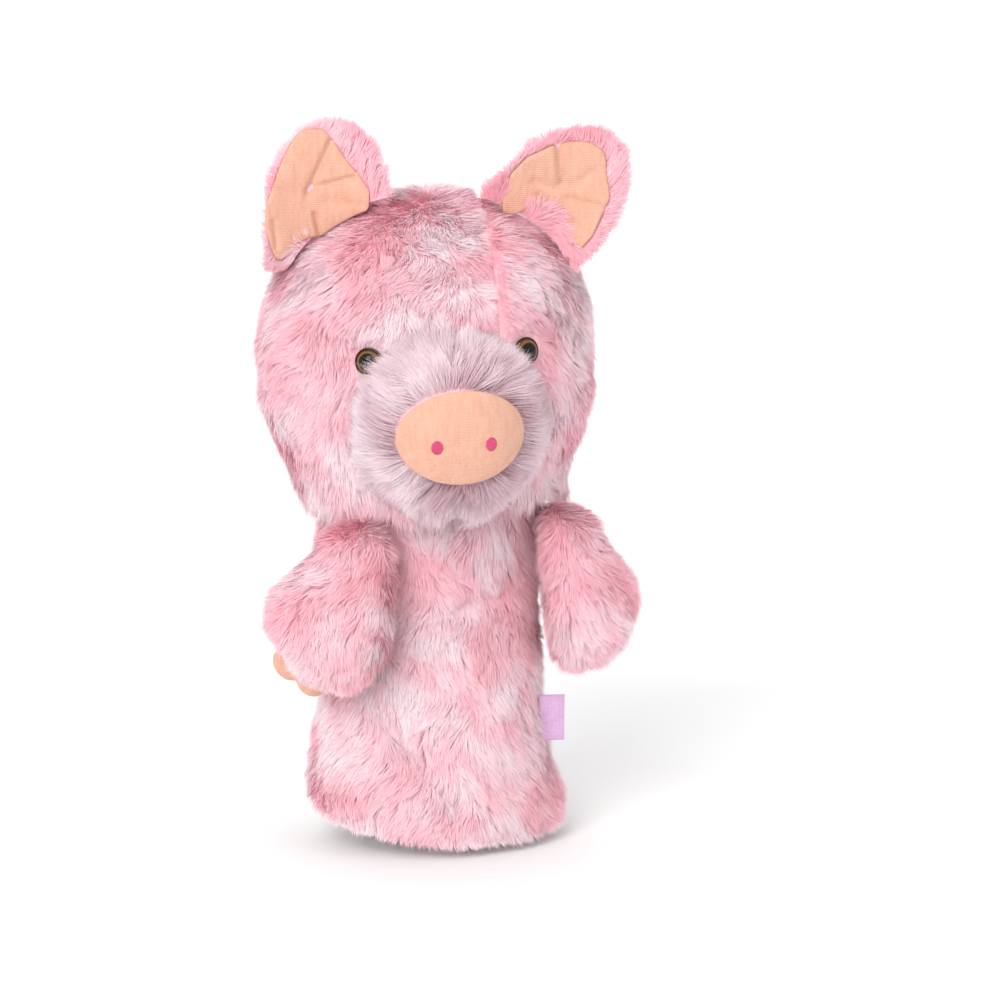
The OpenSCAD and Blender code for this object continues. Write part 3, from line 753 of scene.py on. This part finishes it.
# ---- Muzzle ----------------------------------------------------------------------
def face_y(x, z):
    level = np.where(z < CHEEK_Z, math.pi / 2 * (z - CHEEK_Z) / (CHEEK_Z - NECK_Z),
                     np.arcsin(np.clip((z - CHEEK_Z) / CROWN_H, -1, 1)))
    k = level_share(level)
    return -HEAD_D / 2 * k * np.sqrt(np.clip(1 - (2 * x / (HEAD_W * k)) ** 2, 0, None))


def dome(r):
    return np.clip(1 - np.abs(r) ** 3.2, 0, None) ** 0.6


def muzzle_at(angle, r, inward, lift):
    chin = 1 - 0.22 * np.clip(-np.sin(angle), 0, None) ** 2
    x = FACE_X + (MUZZLE_W / 2 - inward) * r * np.cos(angle) * chin
    z = MUZZLE_Z + (MUZZLE_H / 2 - inward) * r * np.sin(angle)
    return stack(x, face_y(x, z) - lift - (MUZZLE_OUT - inward) * dome(r), z)


def muzzle_wall(inward, lift, inner=0.0):
    def surface(u, v):
        angle = TAU * u
        r = 1 - (1 - inner) * v * (2 - v)
        return affine(LEAN, muzzle_at(angle, r, inward, lift))
    return surface


def muzzle_flow(u, v, p, n):
    q = unleaned(p)
    return affine(LEAN, stack(q[:, 0] - FACE_X, 8 + 0 * q[:, 0], q[:, 2] - SNOUT_Z)) - affine(LEAN, np.zeros(3))


def off_snout(u, v, p):
    q = unleaned(p)
    return (2 * (q[:, 0] - FACE_X) / SNOUT_W) ** 2 + (2 * (q[:, 2] - SNOUT_Z) / SNOUT_H) ** 2 > 0.9


muzzle = cloth("muzzle_plush", muzzle_wall(SKIN, MUZZLE_LIFT, 0.02), muzzle_wall(FUR_T, MUZZLE_LIFT, 0.02), 72, 30, True,
               PALE_BACKING)
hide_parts("muzzle_cover")
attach(muzzle, "head")


def muzzle_seam(u, v, p):
    """Shorter pile along the seam over the snout and in the mouth's fold under it."""
    q = unleaned(p)
    off = np.abs(q[:, 0] - FACE_X)
    above = (q[:, 2] > SNOUT_Z) * (q[:, 2] < SNOUT_Z + 44)
    below = q[:, 2] < SNOUT_Z - 20
    fringe = 1 + 0.2 * np.exp(-(eye_distance(p) / 17) ** 2)
    return fringe * (1 - 0.6 * above * np.exp(-(off / 1.6) ** 2) - 0.6 * below * np.exp(-(off / 4) ** 2))


def muzzle_tone_and_painted_shade(p):
    """Painted shade: duller on the cheek away from the key light and toward the chin, while the bridge keeps the
    paler tone.
    """
    q = unleaned(p)
    turned = ease((q[:, 0] - FACE_X - 8) / 30)
    return 0.08 - 0.42 * turned - 0.36 * ease((SNOUT_Z - 12 - q[:, 2]) / 30)


# The muzzle's pile carries painted shade on the cheek away from the key light and under the chin.
muzzle_coat = pile("muzzle_plush_pile", muzzle_wall(SKIN, MUZZLE_LIFT, 0.25), PALE_PILE, 121, muzzle_flow,
                   density=3.4, length=14.5, keep=off_snout, scale=muzzle_seam, root_lift=56, tip_lift=20,
                   tone=muzzle_tone_and_painted_shade)
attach(muzzle_coat, "head")


def front_y(x, z):
    r = np.sqrt((2 * (x - FACE_X) / MUZZLE_W) ** 2 + (2 * (z - MUZZLE_Z) / MUZZLE_H) ** 2)
    return face_y(x, z) - MUZZLE_LIFT - MUZZLE_OUT * dome(r)


def snout_surface(u, v):
    """Closed cushion: v runs from its middle in front over the edge to its middle behind."""
    angle, turn = TAU * u, math.pi * v
    r = np.sin(turn) ** 0.8
    x, z = FACE_X + SNOUT_W / 2 * r * np.cos(angle), SNOUT_Z + SNOUT_H / 2 * r * np.sin(angle)
    puff = np.where(np.cos(turn) > 0, 3.2 + 2.2 * np.abs(np.cos(turn)) ** 0.6, 3.2)
    return affine(LEAN, stack(x, front_y(x, z) - np.where(np.cos(turn) > 0, puff, 0.6 + 2.6 * r ** 6), z))


snout = closed_form("snout_pad_velour", snout_surface, 96, 48, VELOUR)
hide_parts("snout_pad")
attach(snout, "head")

# ---- Nostrils and mouth ----------------------------------------------------------
def tube(path, radius, sides=6, taper=0.4):
    """Points and quads of a closed round thread along a path of points."""
    path = np.asarray(path, float)
    way = unit(np.gradient(path, axis=0))
    across = unit(np.cross(way, np.array([0.31, 0.17, 0.93])))
    other = np.cross(way, across)
    turn = np.arange(sides) / sides * TAU
    thin = radius * np.ones(len(path))
    thin[0] = thin[-1] = radius * taper
    ring = (across[:, None] * np.cos(turn)[:, None] + other[:, None] * np.sin(turn)[:, None]) * thin[:, None, None]
    points = (path[:, None] + ring).reshape(-1, 3)
    return np.concatenate([points, path[:1], path[-1:]]), len(path), sides


def threads(name, paths, radius, material, sides=6):
    """One piece made of many stitches."""
    points, faces, start = [], [], 0
    for path in paths:
        p, rows, n = tube(path, radius, sides)
        quads = grid_faces(n, rows, True, start)
        i = np.arange(n)
        j = (i + 1) % n
        first, last = start + rows * n, start + rows * n + 1
        low = np.stack([start + j, start + i, np.full(n, first), np.full(n, first)], -1)
        top = np.stack([start + (rows - 1) * n + i, start + (rows - 1) * n + j, np.full(n, last),
                        np.full(n, last)], -1)
        points.append(p)
        faces.append((quads, low, top))
        start += len(p)
    quads = np.concatenate([f[0] for f in faces])
    caps = np.concatenate([np.concatenate([f[1], f[2]]) for f in faces])[:, :3]
    triangles = np.concatenate([quads[:, [0, 1, 2]], quads[:, [0, 2, 3]], caps])
    return add_mesh(name, np.concatenate(points), triangles, material)


def snout_front(x, z, lift):
    return affine(LEAN, stack(x, front_y(x, z) - lift, z))


SNOUT_LIFT = 5.2


def nostril(side, name, node):
    """Satin stitches side by side that fill a small oval."""
    cx, cz, w, h = FACE_X + side * NOSTRIL_GAP / 2, SNOUT_Z - 3.5, 5.6, 7.0
    rng = np.random.default_rng(130 + side)
    paths = []
    for x in np.linspace(-0.92, 0.92, 13):
        reach = math.sqrt(1 - x * x) * h / 2 + rng.uniform(-0.15, 0.15)
        t = np.linspace(-1, 1, 9)
        z = cz + reach * t
        lift = SNOUT_LIFT + 0.1 + 0.75 * np.sqrt(np.clip(1 - t * t, 0, 1)) * math.sqrt(1 - x * x * 0.8)
        paths.append(snout_front(cx + x * w / 2 + 0.05 * np.sin(4 * t), z, lift))
    turn = np.linspace(0, TAU, 25)
    paths.append(snout_front(cx + w / 2 * np.cos(turn), cz + h / 2 * np.sin(turn), SNOUT_LIFT + 0.15))
    piece = threads(name, paths, 0.27, MAGENTA)
    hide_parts(node)
    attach(piece, "head")


nostril(1, "left_nostril_stitches", "left_nostril")
nostril(-1, "right_nostril_stitches", "right_nostril")


# ---- Eyes ------------------------------------------------------------------------
def at_eye(side):
    x = EYE_GAP / 2 + side * FACE_X
    y = float(face_y(x, EYE_Z))
    out = Vector((x / (HEAD_W / 2) ** 2, y / (HEAD_D / 2) ** 2, (EYE_Z - CHEEK_Z) / CROWN_H ** 2))
    turn = math.degrees(math.atan2(out.x, -out.y))
    rise = math.degrees(math.atan2(out.z, math.hypot(out.x, out.y)))
    return (LEAN @ (MIRROR if side < 0 else Matrix.Identity(4)) @ Matrix.Translation((x, y, EYE_Z))
            @ about("Z", turn) @ about("X", 90 - rise))


def revolved(name, profile, cols, matrix, material):
    """A turned form: profile is (radius, height) from its middle on top to its middle below."""
    u, v = grid_uv(cols, len(profile), True)
    profile = np.array(profile, float)
    rows = np.rint(v * (len(profile) - 1)).astype(int)
    r, z = profile[rows, 0], profile[rows, 1]
    piece = add_mesh(name, affine(matrix, stack(r * np.cos(TAU * u), r * np.sin(TAU * u), z)),
                     grid_faces(cols, len(profile), True), material)
    ring = piece.data.attributes.new("ring", "FLOAT", "POINT")
    ring.data.foreach_set("value", np.where(rows < 17, r / EYE_R, 1.0).astype(np.float32))
    merge(piece)
    return piece


def eye(side, name, node, washer):
    dome_r, top = EYE_R * 1.16, 4.8
    r = np.linspace(0, EYE_R * 0.97, 16)
    profile = [(a, math.sqrt(dome_r ** 2 - a * a) - dome_r + top) for a in r]
    profile += [(EYE_R * 1.02, 1.25), (EYE_R * 1.04, 0.8), (EYE_R * 0.98, 0.3), (EYE_R * 0.9, 0.05),
                (1.7, 0.0), (1.6, -0.6)]
    for z in np.arange(-1.2, -9.6, -0.9):
        profile += [(1.6, z), (1.45, z - 0.3), (1.6, z - 0.6)]
    profile += [(1.2, -10), (0, -10)]
    piece = revolved(name, profile, 48, at_eye(side), EYE)
    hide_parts(node)
    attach(piece, "head")
    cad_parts[washer].data.materials.clear()
    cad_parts[washer].data.materials.append(WASHER)


eye(1, "left_eye_lens", "left_eye", "left_eye_washer")
eye(-1, "right_eye_lens", "right_eye", "right_eye_washer")


# ---- Ears ------------------------------------------------------------------------
EAR_Y, EAR_GAP, EAR_DROOP, EAR_CUP = -16, 3, 24, 9


def head_top(x, y):
    return CHEEK_Z + CROWN_H * np.sqrt(np.clip(1 - (2 * x / HEAD_W) ** 2 - (2 * y / HEAD_D) ** 2, 0, None))


def ear_place(tilt):
    x = 52.8 + tilt * 0.13
    return x, float(head_top(np.float64(x), EAR_Y)) + EAR_GAP


def ear_foot(p, tilt):
    """Height in the ear's plane where it clears the head, by halving."""
    (x0, z0), a = ear_place(tilt), math.radians(tilt)
    low, high = np.full_like(p, -EAR_DROOP), np.full_like(p, 40.0)
    for _ in range(14):
        q = (low + high) / 2
        above = (z0 - p * math.sin(a) + q * math.cos(a)
                 - head_top(x0 + p * math.cos(a) + q * math.sin(a), EAR_Y) - EAR_GAP) > 0
        high, low = np.where(above, q, high), np.where(above, low, q)
    return (low + high) / 2


def ear_matrix(side, tilt):
    x, z = ear_place(tilt)
    return (LEAN @ (MIRROR if side < 0 else Matrix.Identity(4)) @ Matrix.Translation((x, EAR_Y, z))
            @ about("Y", tilt))


def ear_depth(p, q, tall, off):
    return off - EAR_CUP * (2 * p / EAR_W) ** 2 * (1 - 0.5 * np.clip(q, 0, None) / tall)


def ear_leaf(ear_values, share, off):
    side, tilt, tall = ear_values

    def surface(u, v):
        u = 1 - u if side < 0 else u
        w = EAR_W * share
        p = mix(-0.93, 0.93, u) * w / 2
        foot = ear_foot(p, tilt)
        tip = np.maximum(foot + 4, tall * np.clip(1 - np.abs(2 * p / w) ** 2.3, 0, None) ** 0.62 * share)
        q = mix(foot, tip, v)
        return affine(ear_matrix(side, tilt), stack(p, ear_depth(p, q, tall, off), q))
    return surface


# Each velour panel's upper and lower edges as (across, up) in the ear's plane, and its creases
RIGHT_VELOUR = {
    "upper": ((-21.4, 17.3), (-19.7, 24.3), (-11.4, 31.3), (-0.9, 45.3), (2.2, 50.3), (7.8, 51.3),
              (15.2, 50.3), (19.3, 48.3), (25.7, 33.3), (29.2, 24.3), (31.6, 15.3), (33.1, 4.3)),
    "lower": ((-21.4, 17.3), (-20.7, 8.3), (-16.5, -1.1), (-10.0, -14.7), (-3.9, -10.7), (1.5, -6.1),
              (5.0, -5.2), (11.9, -7.4), (18.7, -13.7), (25.5, -22.7), (31.4, -7.7), (33.1, 4.3)),
    "creases": (((0.0, 44.3), (11.3, 16.3), 2.6, 2.0), ((-12.6, 26.3), (9.5, 19.3), 2.2, 1.8),
                ((6.8, 6.3), (2.2, -7.7), 2.6, 1.4), ((28.4, 2.3), (26.1, -11.7), 1.2, 1.6),
                ((30.9, 20.3), (16.0, 17.3), 0.9, 2.2), ((-19.1, 12.3), (1.0, 13.3), 0.8, 2.4)),
}
LEFT_VELOUR = {
    "upper": ((-28.7, 13.9), (-28.3, 27.0), (-21.3, 38.3), (-11.7, 50.3), (1.6, 53.6), (5.7, 48.2),
              (22.5, 35.1), (24.7, 22.2), (26.1, 6.9)),
    "lower": ((-28.7, 13.9), (-26.4, 2.3), (-19.5, -6.5), (-10.6, -10.6), (-10.1, 2.7), (-8.4, 7.2),
              (-0.1, 10.6), (6.8, 11.5), (20.6, 5.4), (26.1, 6.9)),
    "creases": (((-21.6, 39.2), (-5.2, 25.8), 2.8, 2.0), ((-16.7, 15.4), (-4.0, 21.8), 1.3, 2.2),
                ((-9.7, 11.6), (18.2, 14.6), 1.3, 2.4), ((22.6, 32.8), (4.0, 22.1), 1.6, 2.0),
                ((3.3, 42.1), (-0.3, 28.0), 0.9, 2.4)),
}


def edge_of(shape, edge, p):
    """Height of an edge at p, with its corners rounded off."""
    at = np.array(shape[edge], float)
    near = [np.interp(p + d, at[:, 0], at[:, 1]) for d in np.linspace(-4.5, 4.5, 10)]
    return np.mean(near, axis=0)


def velour_panel(ear_values, shape, off):
    side, tilt, tall = ear_values
    start, end = shape["upper"][0][0], shape["upper"][-1][0]

    def surface(u, v):
        u = 1 - u if side < 0 else u
        p = mix(start, end, 0.5 - 0.5 * np.cos(math.pi * np.clip(u, 0.004, 0.996)))
        foot, top = ear_foot(p, tilt) + 0.5, edge_of(shape, "upper", p)
        q = mix(np.maximum(edge_of(shape, "lower", p), foot - 4), top, v)
        depth = ear_depth(p, q, tall, off)
        rim = np.minimum(np.minimum(v, 1 - v) * 5, 1) * np.minimum(np.minimum(u, 1 - u) * 8, 1)
        depth = depth - 1.6 * np.sqrt(np.clip(rim, 0, 1))
        for a, b, deep, wide in shape["creases"]:
            depth = depth + deep * crease(p, q, a, b, wide)
        return affine(ear_matrix(side, tilt), stack(p, depth, q))
    return surface


def ear(ear_values, word, shape, seed):
    side, tilt, tall = ear_values
    body = word + "_ear"
    skin = cloth(word + "_ear_plush", ear_leaf(ear_values, 0.95, -0.6), ear_leaf(ear_values, 0.95, 2.2), 40, 24,
                 False, PINK_BACKING)
    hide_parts(word + "_ear_fur")
    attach(skin, body)
    panel = cloth(word + "_ear_velour_lining", velour_panel(ear_values, shape, -2.2),
                  velour_panel(ear_values, shape, -1.2), 90, 60, False, VELOUR)
    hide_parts(word + "_ear_velour")
    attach(panel, body)
    inverse = ear_matrix(side, tilt).inverted()

    def outward(u, v, p, n):
        local = affine(inverse, p)
        way = stack(local[:, 0], -0.2 * np.sign(local[:, 1] + 2), np.maximum(local[:, 2] - 4, 6))
        turn = np.array(ear_matrix(side, tilt), float)[:3, :3]
        return way @ turn.T

    def round_velour(u, v, p):
        local = affine(inverse, p)
        inside = ((local[:, 2] < edge_of(shape, "upper", local[:, 0]) - 0.6)
                  & (local[:, 2] > edge_of(shape, "lower", local[:, 0]) + 0.6)
                  & (local[:, 0] > shape["upper"][0][0]) & (local[:, 0] < shape["upper"][-1][0]))
        return ~inside

    def edge_short(u, v, p):
        edge = np.minimum(np.minimum(1 - v, u), 1 - u)
        return 0.62 + 0.38 * ease(edge / 0.15)

    front = pile(word + "_ear_front_pile", ear_leaf(ear_values, 0.95, -0.9), PINK_PILE, seed, outward, density=3.0,
                 length=8.5, keep=round_velour, scale=edge_short, root_lift=46, tip_lift=14,
                 tone=-0.15)
    rear = pile(word + "_ear_back_pile", ear_leaf(ear_values, 0.95, 2.2), PINK_PILE, seed + 1, outward, density=2.2,
                length=9, scale=edge_short, flip=True)
    for coat in (front, rear):
        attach(coat, body)


ear(LEFT_EAR, "left", LEFT_VELOUR, 141)
ear(RIGHT_EAR, "right", RIGHT_VELOUR, 151)


# ---- Arms ------------------------------------------------------------------------
HINGE_OUT, ARM_TOP, ARM_CLEAR = 7, 3.5, 1
ARM_LOW, ARM_HIGH = 1.05, -0.04


def arm_matrix(arm):
    side, turn, shift, lift, shoulder_z, _ = arm
    a = math.radians(turn)
    wall = math.hypot(max(WAIST_W, TOP_W) / 2 * math.sin(a), max(WAIST_D, TOP_D) / 2 * math.cos(a))
    return ((MIRROR if side < 0 else Matrix.Identity(4)) @ about("Z", turn)
            @ Matrix.Translation((shift, -wall - HINGE_OUT, shoulder_z)) @ about("X", -lift))


def arm_swell(s):
    def plain(t):
        return np.sqrt(np.sin(math.pi * (0.11 + 0.78 * np.clip(t, 0, 1) ** 1.9)))
    low = np.sqrt(np.clip(1 - ((s - 0.85) / (ARM_LOW - 0.85)) ** 2, 0, None)) * plain(0.85)
    high = np.sqrt(np.clip(1 - ((0.12 - s) / (0.12 - ARM_HIGH)) ** 2, 0, None)) * plain(0.12)
    return np.where(s > 0.85, low, np.where(s < 0.12, high, plain(s)))


def arm_skin(arm, inward, from_s=ARM_LOW, to_s=ARM_HIGH):
    arm_r = ARM_LEN / math.radians(arm[5])

    def surface(u, v):
        u = 1 - u if arm[0] < 0 else u
        s = mix(from_s, to_s, v)
        swell, bend = arm_swell(s), np.radians(arm[5] * s)
        shrink = np.clip(1 - inward / 26 / np.maximum(swell, 0.2), 0.05, 1)
        w, t = ARM_W / 2 * swell * shrink, ARM_T / 2 * swell * shrink
        away = ARM_T / 2 * swell + ARM_CLEAR - HINGE_OUT
        x = arm_r * (1 - np.cos(bend)) + w * np.cos(TAU * u) * np.cos(bend)
        z = ARM_TOP - arm_r * np.sin(bend) + w * np.cos(TAU * u) * np.sin(bend)
        return affine(arm_matrix(arm), stack(x, -away - t * np.sin(TAU * u), z))
    return surface


def toward_low(surface):
    def flow(u, v, p, n):
        return surface(u, np.clip(v - 0.02, 0, 1)) - surface(u, np.clip(v + 0.005, 0, 1))
    return flow


def trotter(arm, word):
    """Two stuffed velour toes with a seam between them."""
    bend = math.radians(arm[5])
    arm_r = ARM_LEN / bend
    away = ARM_T / 2 * math.sqrt(math.sin(math.pi * 0.89)) + ARM_CLEAR - HINGE_OUT
    end = (arm_r * (1 - math.cos(bend)), -away, ARM_TOP - arm_r * math.sin(bend))
    at = arm_matrix(arm) @ Matrix.Translation(end) @ about("Y", 180 - arm[5])
    points, faces, start = [], [], 0
    u, v = grid_uv(40, 28, True)
    for cx, size, tilt in ((-5.4, 1.0, -7), (7.4, 0.86, 9)):
        turn = math.pi * v
        r = 10.4 * size * np.sin(turn) ** 0.75
        z = np.where(turn < math.pi / 2, 9 * size, 2.0) + np.cos(turn) * np.where(turn < math.pi / 2, 10.2 * size, 10)
        local = stack(r * np.cos(TAU * u), 0.86 * r * np.sin(TAU * u), z)
        local = affine(about("Y", tilt), local) + np.array([cx, 0, 0])
        points.append(affine(at, local))
        faces.append(grid_faces(40, 28, True, start))
        start += len(u)
    piece = add_mesh(word + "_trotter_velour", np.concatenate(points), np.concatenate(faces), VELOUR)
    merge(piece)
    remesh = piece.modifiers.new("union", "REMESH")
    remesh.mode, remesh.voxel_size = "VOXEL", 0.0007
    soften = piece.modifiers.new("soften", "SMOOTH")
    soften.factor, soften.iterations = 0.5, 6
    apply_modifiers(piece)
    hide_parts(word + "_trotter")
    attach(piece, word + "_arm")


def apply_modifiers(piece):
    graph = bpy.context.evaluated_depsgraph_get()
    mesh = bpy.data.meshes.new_from_object(piece.evaluated_get(graph))
    piece.modifiers.clear()
    piece.data = mesh
    mesh.polygons.foreach_set("use_smooth", np.full(len(mesh.polygons), True))


def arm(arm_values, word, seed):
    skin_at = arm_skin(arm_values, SKIN)
    skin = closed_form(word + "_arm_plush", skin_at, 56, 60, PINK_BACKING)
    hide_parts(word + "_arm_fur")
    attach(skin, word + "_arm")
    inverse = arm_matrix(arm_values).inverted()

    def outer_side(u, v, p):
        rng = np.random.default_rng(seed + 7)
        hidden = affine(inverse, p)[:, 1] > 2.0
        return ~hidden | (rng.random(len(p)) < 0.7)

    def shorter(u, v, p):
        flat = affine(inverse, p)[:, 1] > 0.0
        return (0.75 + 0.25 * ease(v / 0.12)) * np.where(flat, 0.8, 1.0)

    coat = pile(word + "_arm_pile", skin_at, PINK_PILE, seed, toward_low(skin_at), keep=outer_side, scale=shorter,
                flip=True, tone=-0.10)
    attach(coat, word + "_arm")
    filling = closed_form(word + "_arm_fibrefill", arm_skin(arm_values, FUR_T + 1.2, 0.9, 0.02), 36, 30, FILL)
    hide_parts(word + "_arm_filling")
    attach(filling, word + "_arm")
    trotter(arm_values, word)


arm(RIGHT_ARM, "right", 161)
arm(LEFT_ARM, "left", 171)


# ---- Inside of the sleeve --------------------------------------------------------
def lining_at(far_z, near_z, reach, inward):
    """Lining that runs from the sleeve's wall in to the band, gathered where it meets it."""
    def surface(u, v):
        angle = TAU * u
        z = mix(far_z(angle), near_z, v)
        pinch = np.clip((v - reach) / (1 - reach), 0, 1)
        wall = sleeve_at(angle, z, FUR_T + 2 + inward, 0.5)
        gathers = 1.5 * np.cos(34 * angle + 2 * np.sin(3 * angle)) + 0.7 * np.cos(61 * angle)
        r = BAND_R + 5 - inward + gathers * pinch * (1 - 0.5 * ease((v - 0.92) / 0.08))
        return stack(mix(wall[:, 0], r * np.sin(angle), pinch), mix(wall[:, 1], -r * np.cos(angle), pinch), z)
    return surface


def inner_cloth(name, node, outer, inner, cols, rows, material):
    piece = cloth(name, outer, inner, cols, rows, True, material)
    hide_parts(node)
    if name == "upper_lining_cloth":
        ride_sleeve(piece)
    else:
        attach(piece, "sleeve")
    return piece


def facing_at(inward):
    def surface(u, v):
        angle = TAU * u
        return sleeve_at(angle, hem_z(angle) + 3.5 + (FACING_H - 3.5) * v, FUR_T + GAP + inward)
    return surface


inner_cloth("hem_facing_cloth", "hem_facing", facing_at(0), facing_at(1.4), 160, 8, FACING)


def above_facing(angle):
    return hem_z(angle) + FACING_H + GAP


def below_sleeve_top(angle):
    return SLEEVE_TOP - 1 + 0 * angle


inner_cloth("lower_lining_cloth", "lower_lining", lining_at(above_facing, -BAND_H / 2 - 1, 0.3, 0),
            lining_at(above_facing, -BAND_H / 2 - 1, 0.3, LINING_T * 0.6), 340, 40, LINING)
inner_cloth("upper_lining_cloth", "upper_lining", lining_at(below_sleeve_top, BAND_H / 2 + 1, 0.25, 0),
            lining_at(below_sleeve_top, BAND_H / 2 + 1, 0.25, LINING_T * 0.6), 340, 34, LINING)


def band_at(r, sign):
    def surface(u, v):
        ribs = 0.35 * np.cos(TAU * v * 7) + 0.25 * np.cos(90 * TAU * u)
        return stack((r + sign * ribs) * np.sin(TAU * u), -(r + sign * ribs) * np.cos(TAU * u),
                     mix(-BAND_H / 2, BAND_H / 2, v))
    return surface


band = cloth("elastic_grip_band_cords", band_at(BAND_R + BAND_T - 0.6, 1), band_at(BAND_R + 0.6, -1), 360, 43,
             True, ELASTIC)
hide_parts("elastic_grip_band")
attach(band, "sleeve")


# ---- Inside of the head ----------------------------------------------------------
POCKET_LEVEL = (NECK_Z + 24 - CHEEK_Z) / (CHEEK_Z - NECK_Z) * 90
filling_waves = Waves(41, 26)


def layer(inward, lumps=0.0):
    def surface(u, v):
        angle, level = TAU * u, np.radians(mix(POCKET_LEVEL, 89.5, v))
        share = level_share(level)
        plain = stack(share * np.sin(angle), -share * np.cos(angle), np.sin(level)) * 80
        deep = inward + lumps * filling_waves(plain)
        return affine(LEAN, stack((HEAD_W / 2 - deep) * share * np.sin(angle),
                                  -(HEAD_D / 2 - deep) * share * np.cos(angle), level_z(level, deep)))
    return surface


wadding = cloth("head_fibrefill", layer(FUR_T + 1.6, 0.3), layer(FUR_T + LAYER_GAP + PADDING_T - 0.8, 0.7), 96, 60, True,
                FILL)
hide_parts("head_padding")
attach(wadding, "head")
near = FUR_T + LAYER_GAP + PADDING_T + GAP
pocket = cloth("head_pocket_lining_cloth", layer(near + 0.2, 0.6), layer(near + 0.8, 0.6), 96, 60, True, LINING)
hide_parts("head_pocket_lining")
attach(pocket, "head")


def muzzle_fill(u, v):
    """Closed lump of fibre between the face and the muzzle's cover."""
    angle, turn = TAU * u, math.pi * v
    r = np.sin(turn) * 0.97
    front = muzzle_at(angle, r, FUR_T + LAYER_GAP, MUZZLE_LIFT)
    rear = stack(front[..., 0], face_y(front[..., 0], front[..., 2]) - MUZZLE_LIFT / 2, front[..., 2])
    return affine(LEAN, np.where((np.cos(turn) > 0)[:, None], front, rear))


stuffing = closed_form("muzzle_fibrefill", muzzle_fill, 64, 40, FILL)
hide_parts("muzzle_filling")
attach(stuffing, "head")


# ---- Side label ------------------------------------------------------------------
def label():
    """Blank woven ribbon, folded over at its free end and sewn into the side seam."""
    low = LABEL_Z - LABEL_H / 2
    wide = float(sleeve_half(np.float64(low), HEM_W, WAIST_W, TOP_W))
    deep = float(sleeve_half(np.float64(low), HEM_D, WAIST_D, TOP_D))
    x0 = wide * math.sqrt(1 - (LABEL_Y / deep) ** 2) - 3.4
    length, half, thick = LABEL_W + 3, 0.42, 0.22
    t = np.linspace(0, 1, 20)
    out = x0 + (length - half) * t
    end = np.linspace(math.pi / 2, -math.pi / 2, 9)[1:-1]
    outer = np.concatenate([np.stack([out, np.full(20, half)], -1),
                            np.stack([x0 + length - half + half * np.cos(end), half * np.sin(end)], -1),
                            np.stack([out[::-1], np.full(20, -half)], -1)])
    inner = np.concatenate([np.stack([out, np.full(20, half - thick)], -1),
                            np.stack([x0 + length - half + (half - thick) * np.cos(end),
                                      (half - thick) * np.sin(end)], -1),
                            np.stack([out[::-1], np.full(20, thick - half)], -1)])
    path = [outer, inner]

    def side(k):
        def surface(u, v):
            at = np.rint(u * (len(path[k]) - 1)).astype(int)
            x, y = path[k][at, 0], path[k][at, 1]
            z = low + LABEL_H * v
            wave = 0.5 * np.sin((z - low) / LABEL_H * 5.0) * (x - x0) / length
            return stack(x, LABEL_Y + y + wave, z)
        return surface
    ribbon = cloth("side_label_ribbon", side(0), side(1), len(outer), 26, False, RIBBON)
    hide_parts("side_label")
    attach(ribbon, "label")
    rows = []
    for z in (low + 1.2, low + LABEL_H - 1.2):
        for x in np.arange(x0 + 4, x0 + length - 1.2, 1.5):
            wave = 0.5 * math.sin((z - low) / LABEL_H * 5.0) * (x - x0) / length
            s = np.linspace(0, 1, 5)
            rows.append(stack(x + 1.0 * s, LABEL_Y + wave - half - 0.1 - 0.12 * np.sin(math.pi * s), z + 0 * s))
    sewing = threads("side_label_stitches", rows, 0.13, RIBBON_THREAD, 5)
    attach(sewing, "label")


label()

# ---- Floor, light and output -----------------------------------------------------
low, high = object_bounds()
floor_material = Nodes("pale floor", Roughness=0.9)
floor_material.colour(floor_material.ramp(floor_material.noise(3, 2.0), (0.3, (0.96, 0.96, 0.96)),
                                          (0.7, (0.98, 0.98, 0.98))))
floor = add_mesh("floor", np.array([[-20, -20, 0], [20, -20, 0], [20, 20, 0], [-20, 20, 0]]) * 1000.0
                 + np.array([0, 0, low.z * 1000 - 2]), np.array([[0, 1, 2, 3]]), floor_material.material)

world = bpy.data.worlds.new("studio")
bpy.context.scene.world = world
world.use_nodes = True
world.node_tree.nodes["Background"].inputs["Color"].default_value = (1.0, 1.0, 1.0, 1)
world.node_tree.nodes["Background"].inputs["Strength"].default_value = 0.82


def sun(name, place, spread, power):
    data = bpy.data.lights.new(name, "SUN")
    data.angle, data.energy = math.radians(spread), power
    lamp = bpy.data.objects.new(name, data)
    bpy.context.scene.collection.objects.link(lamp)
    lamp.rotation_mode = "QUATERNION"
    lamp.rotation_quaternion = Vector(place).to_track_quat("Z", "Y")


sun("key light", (-1.0, -1.8, 1.1), 35, 2.1)
sun("fill light", (1.6, -1.2, 0.7), 60, 0.15)
sun("top light", (0.1, 0.6, 1.8), 60, 0.25)
bpy.context.scene.view_settings.view_transform = "Standard"
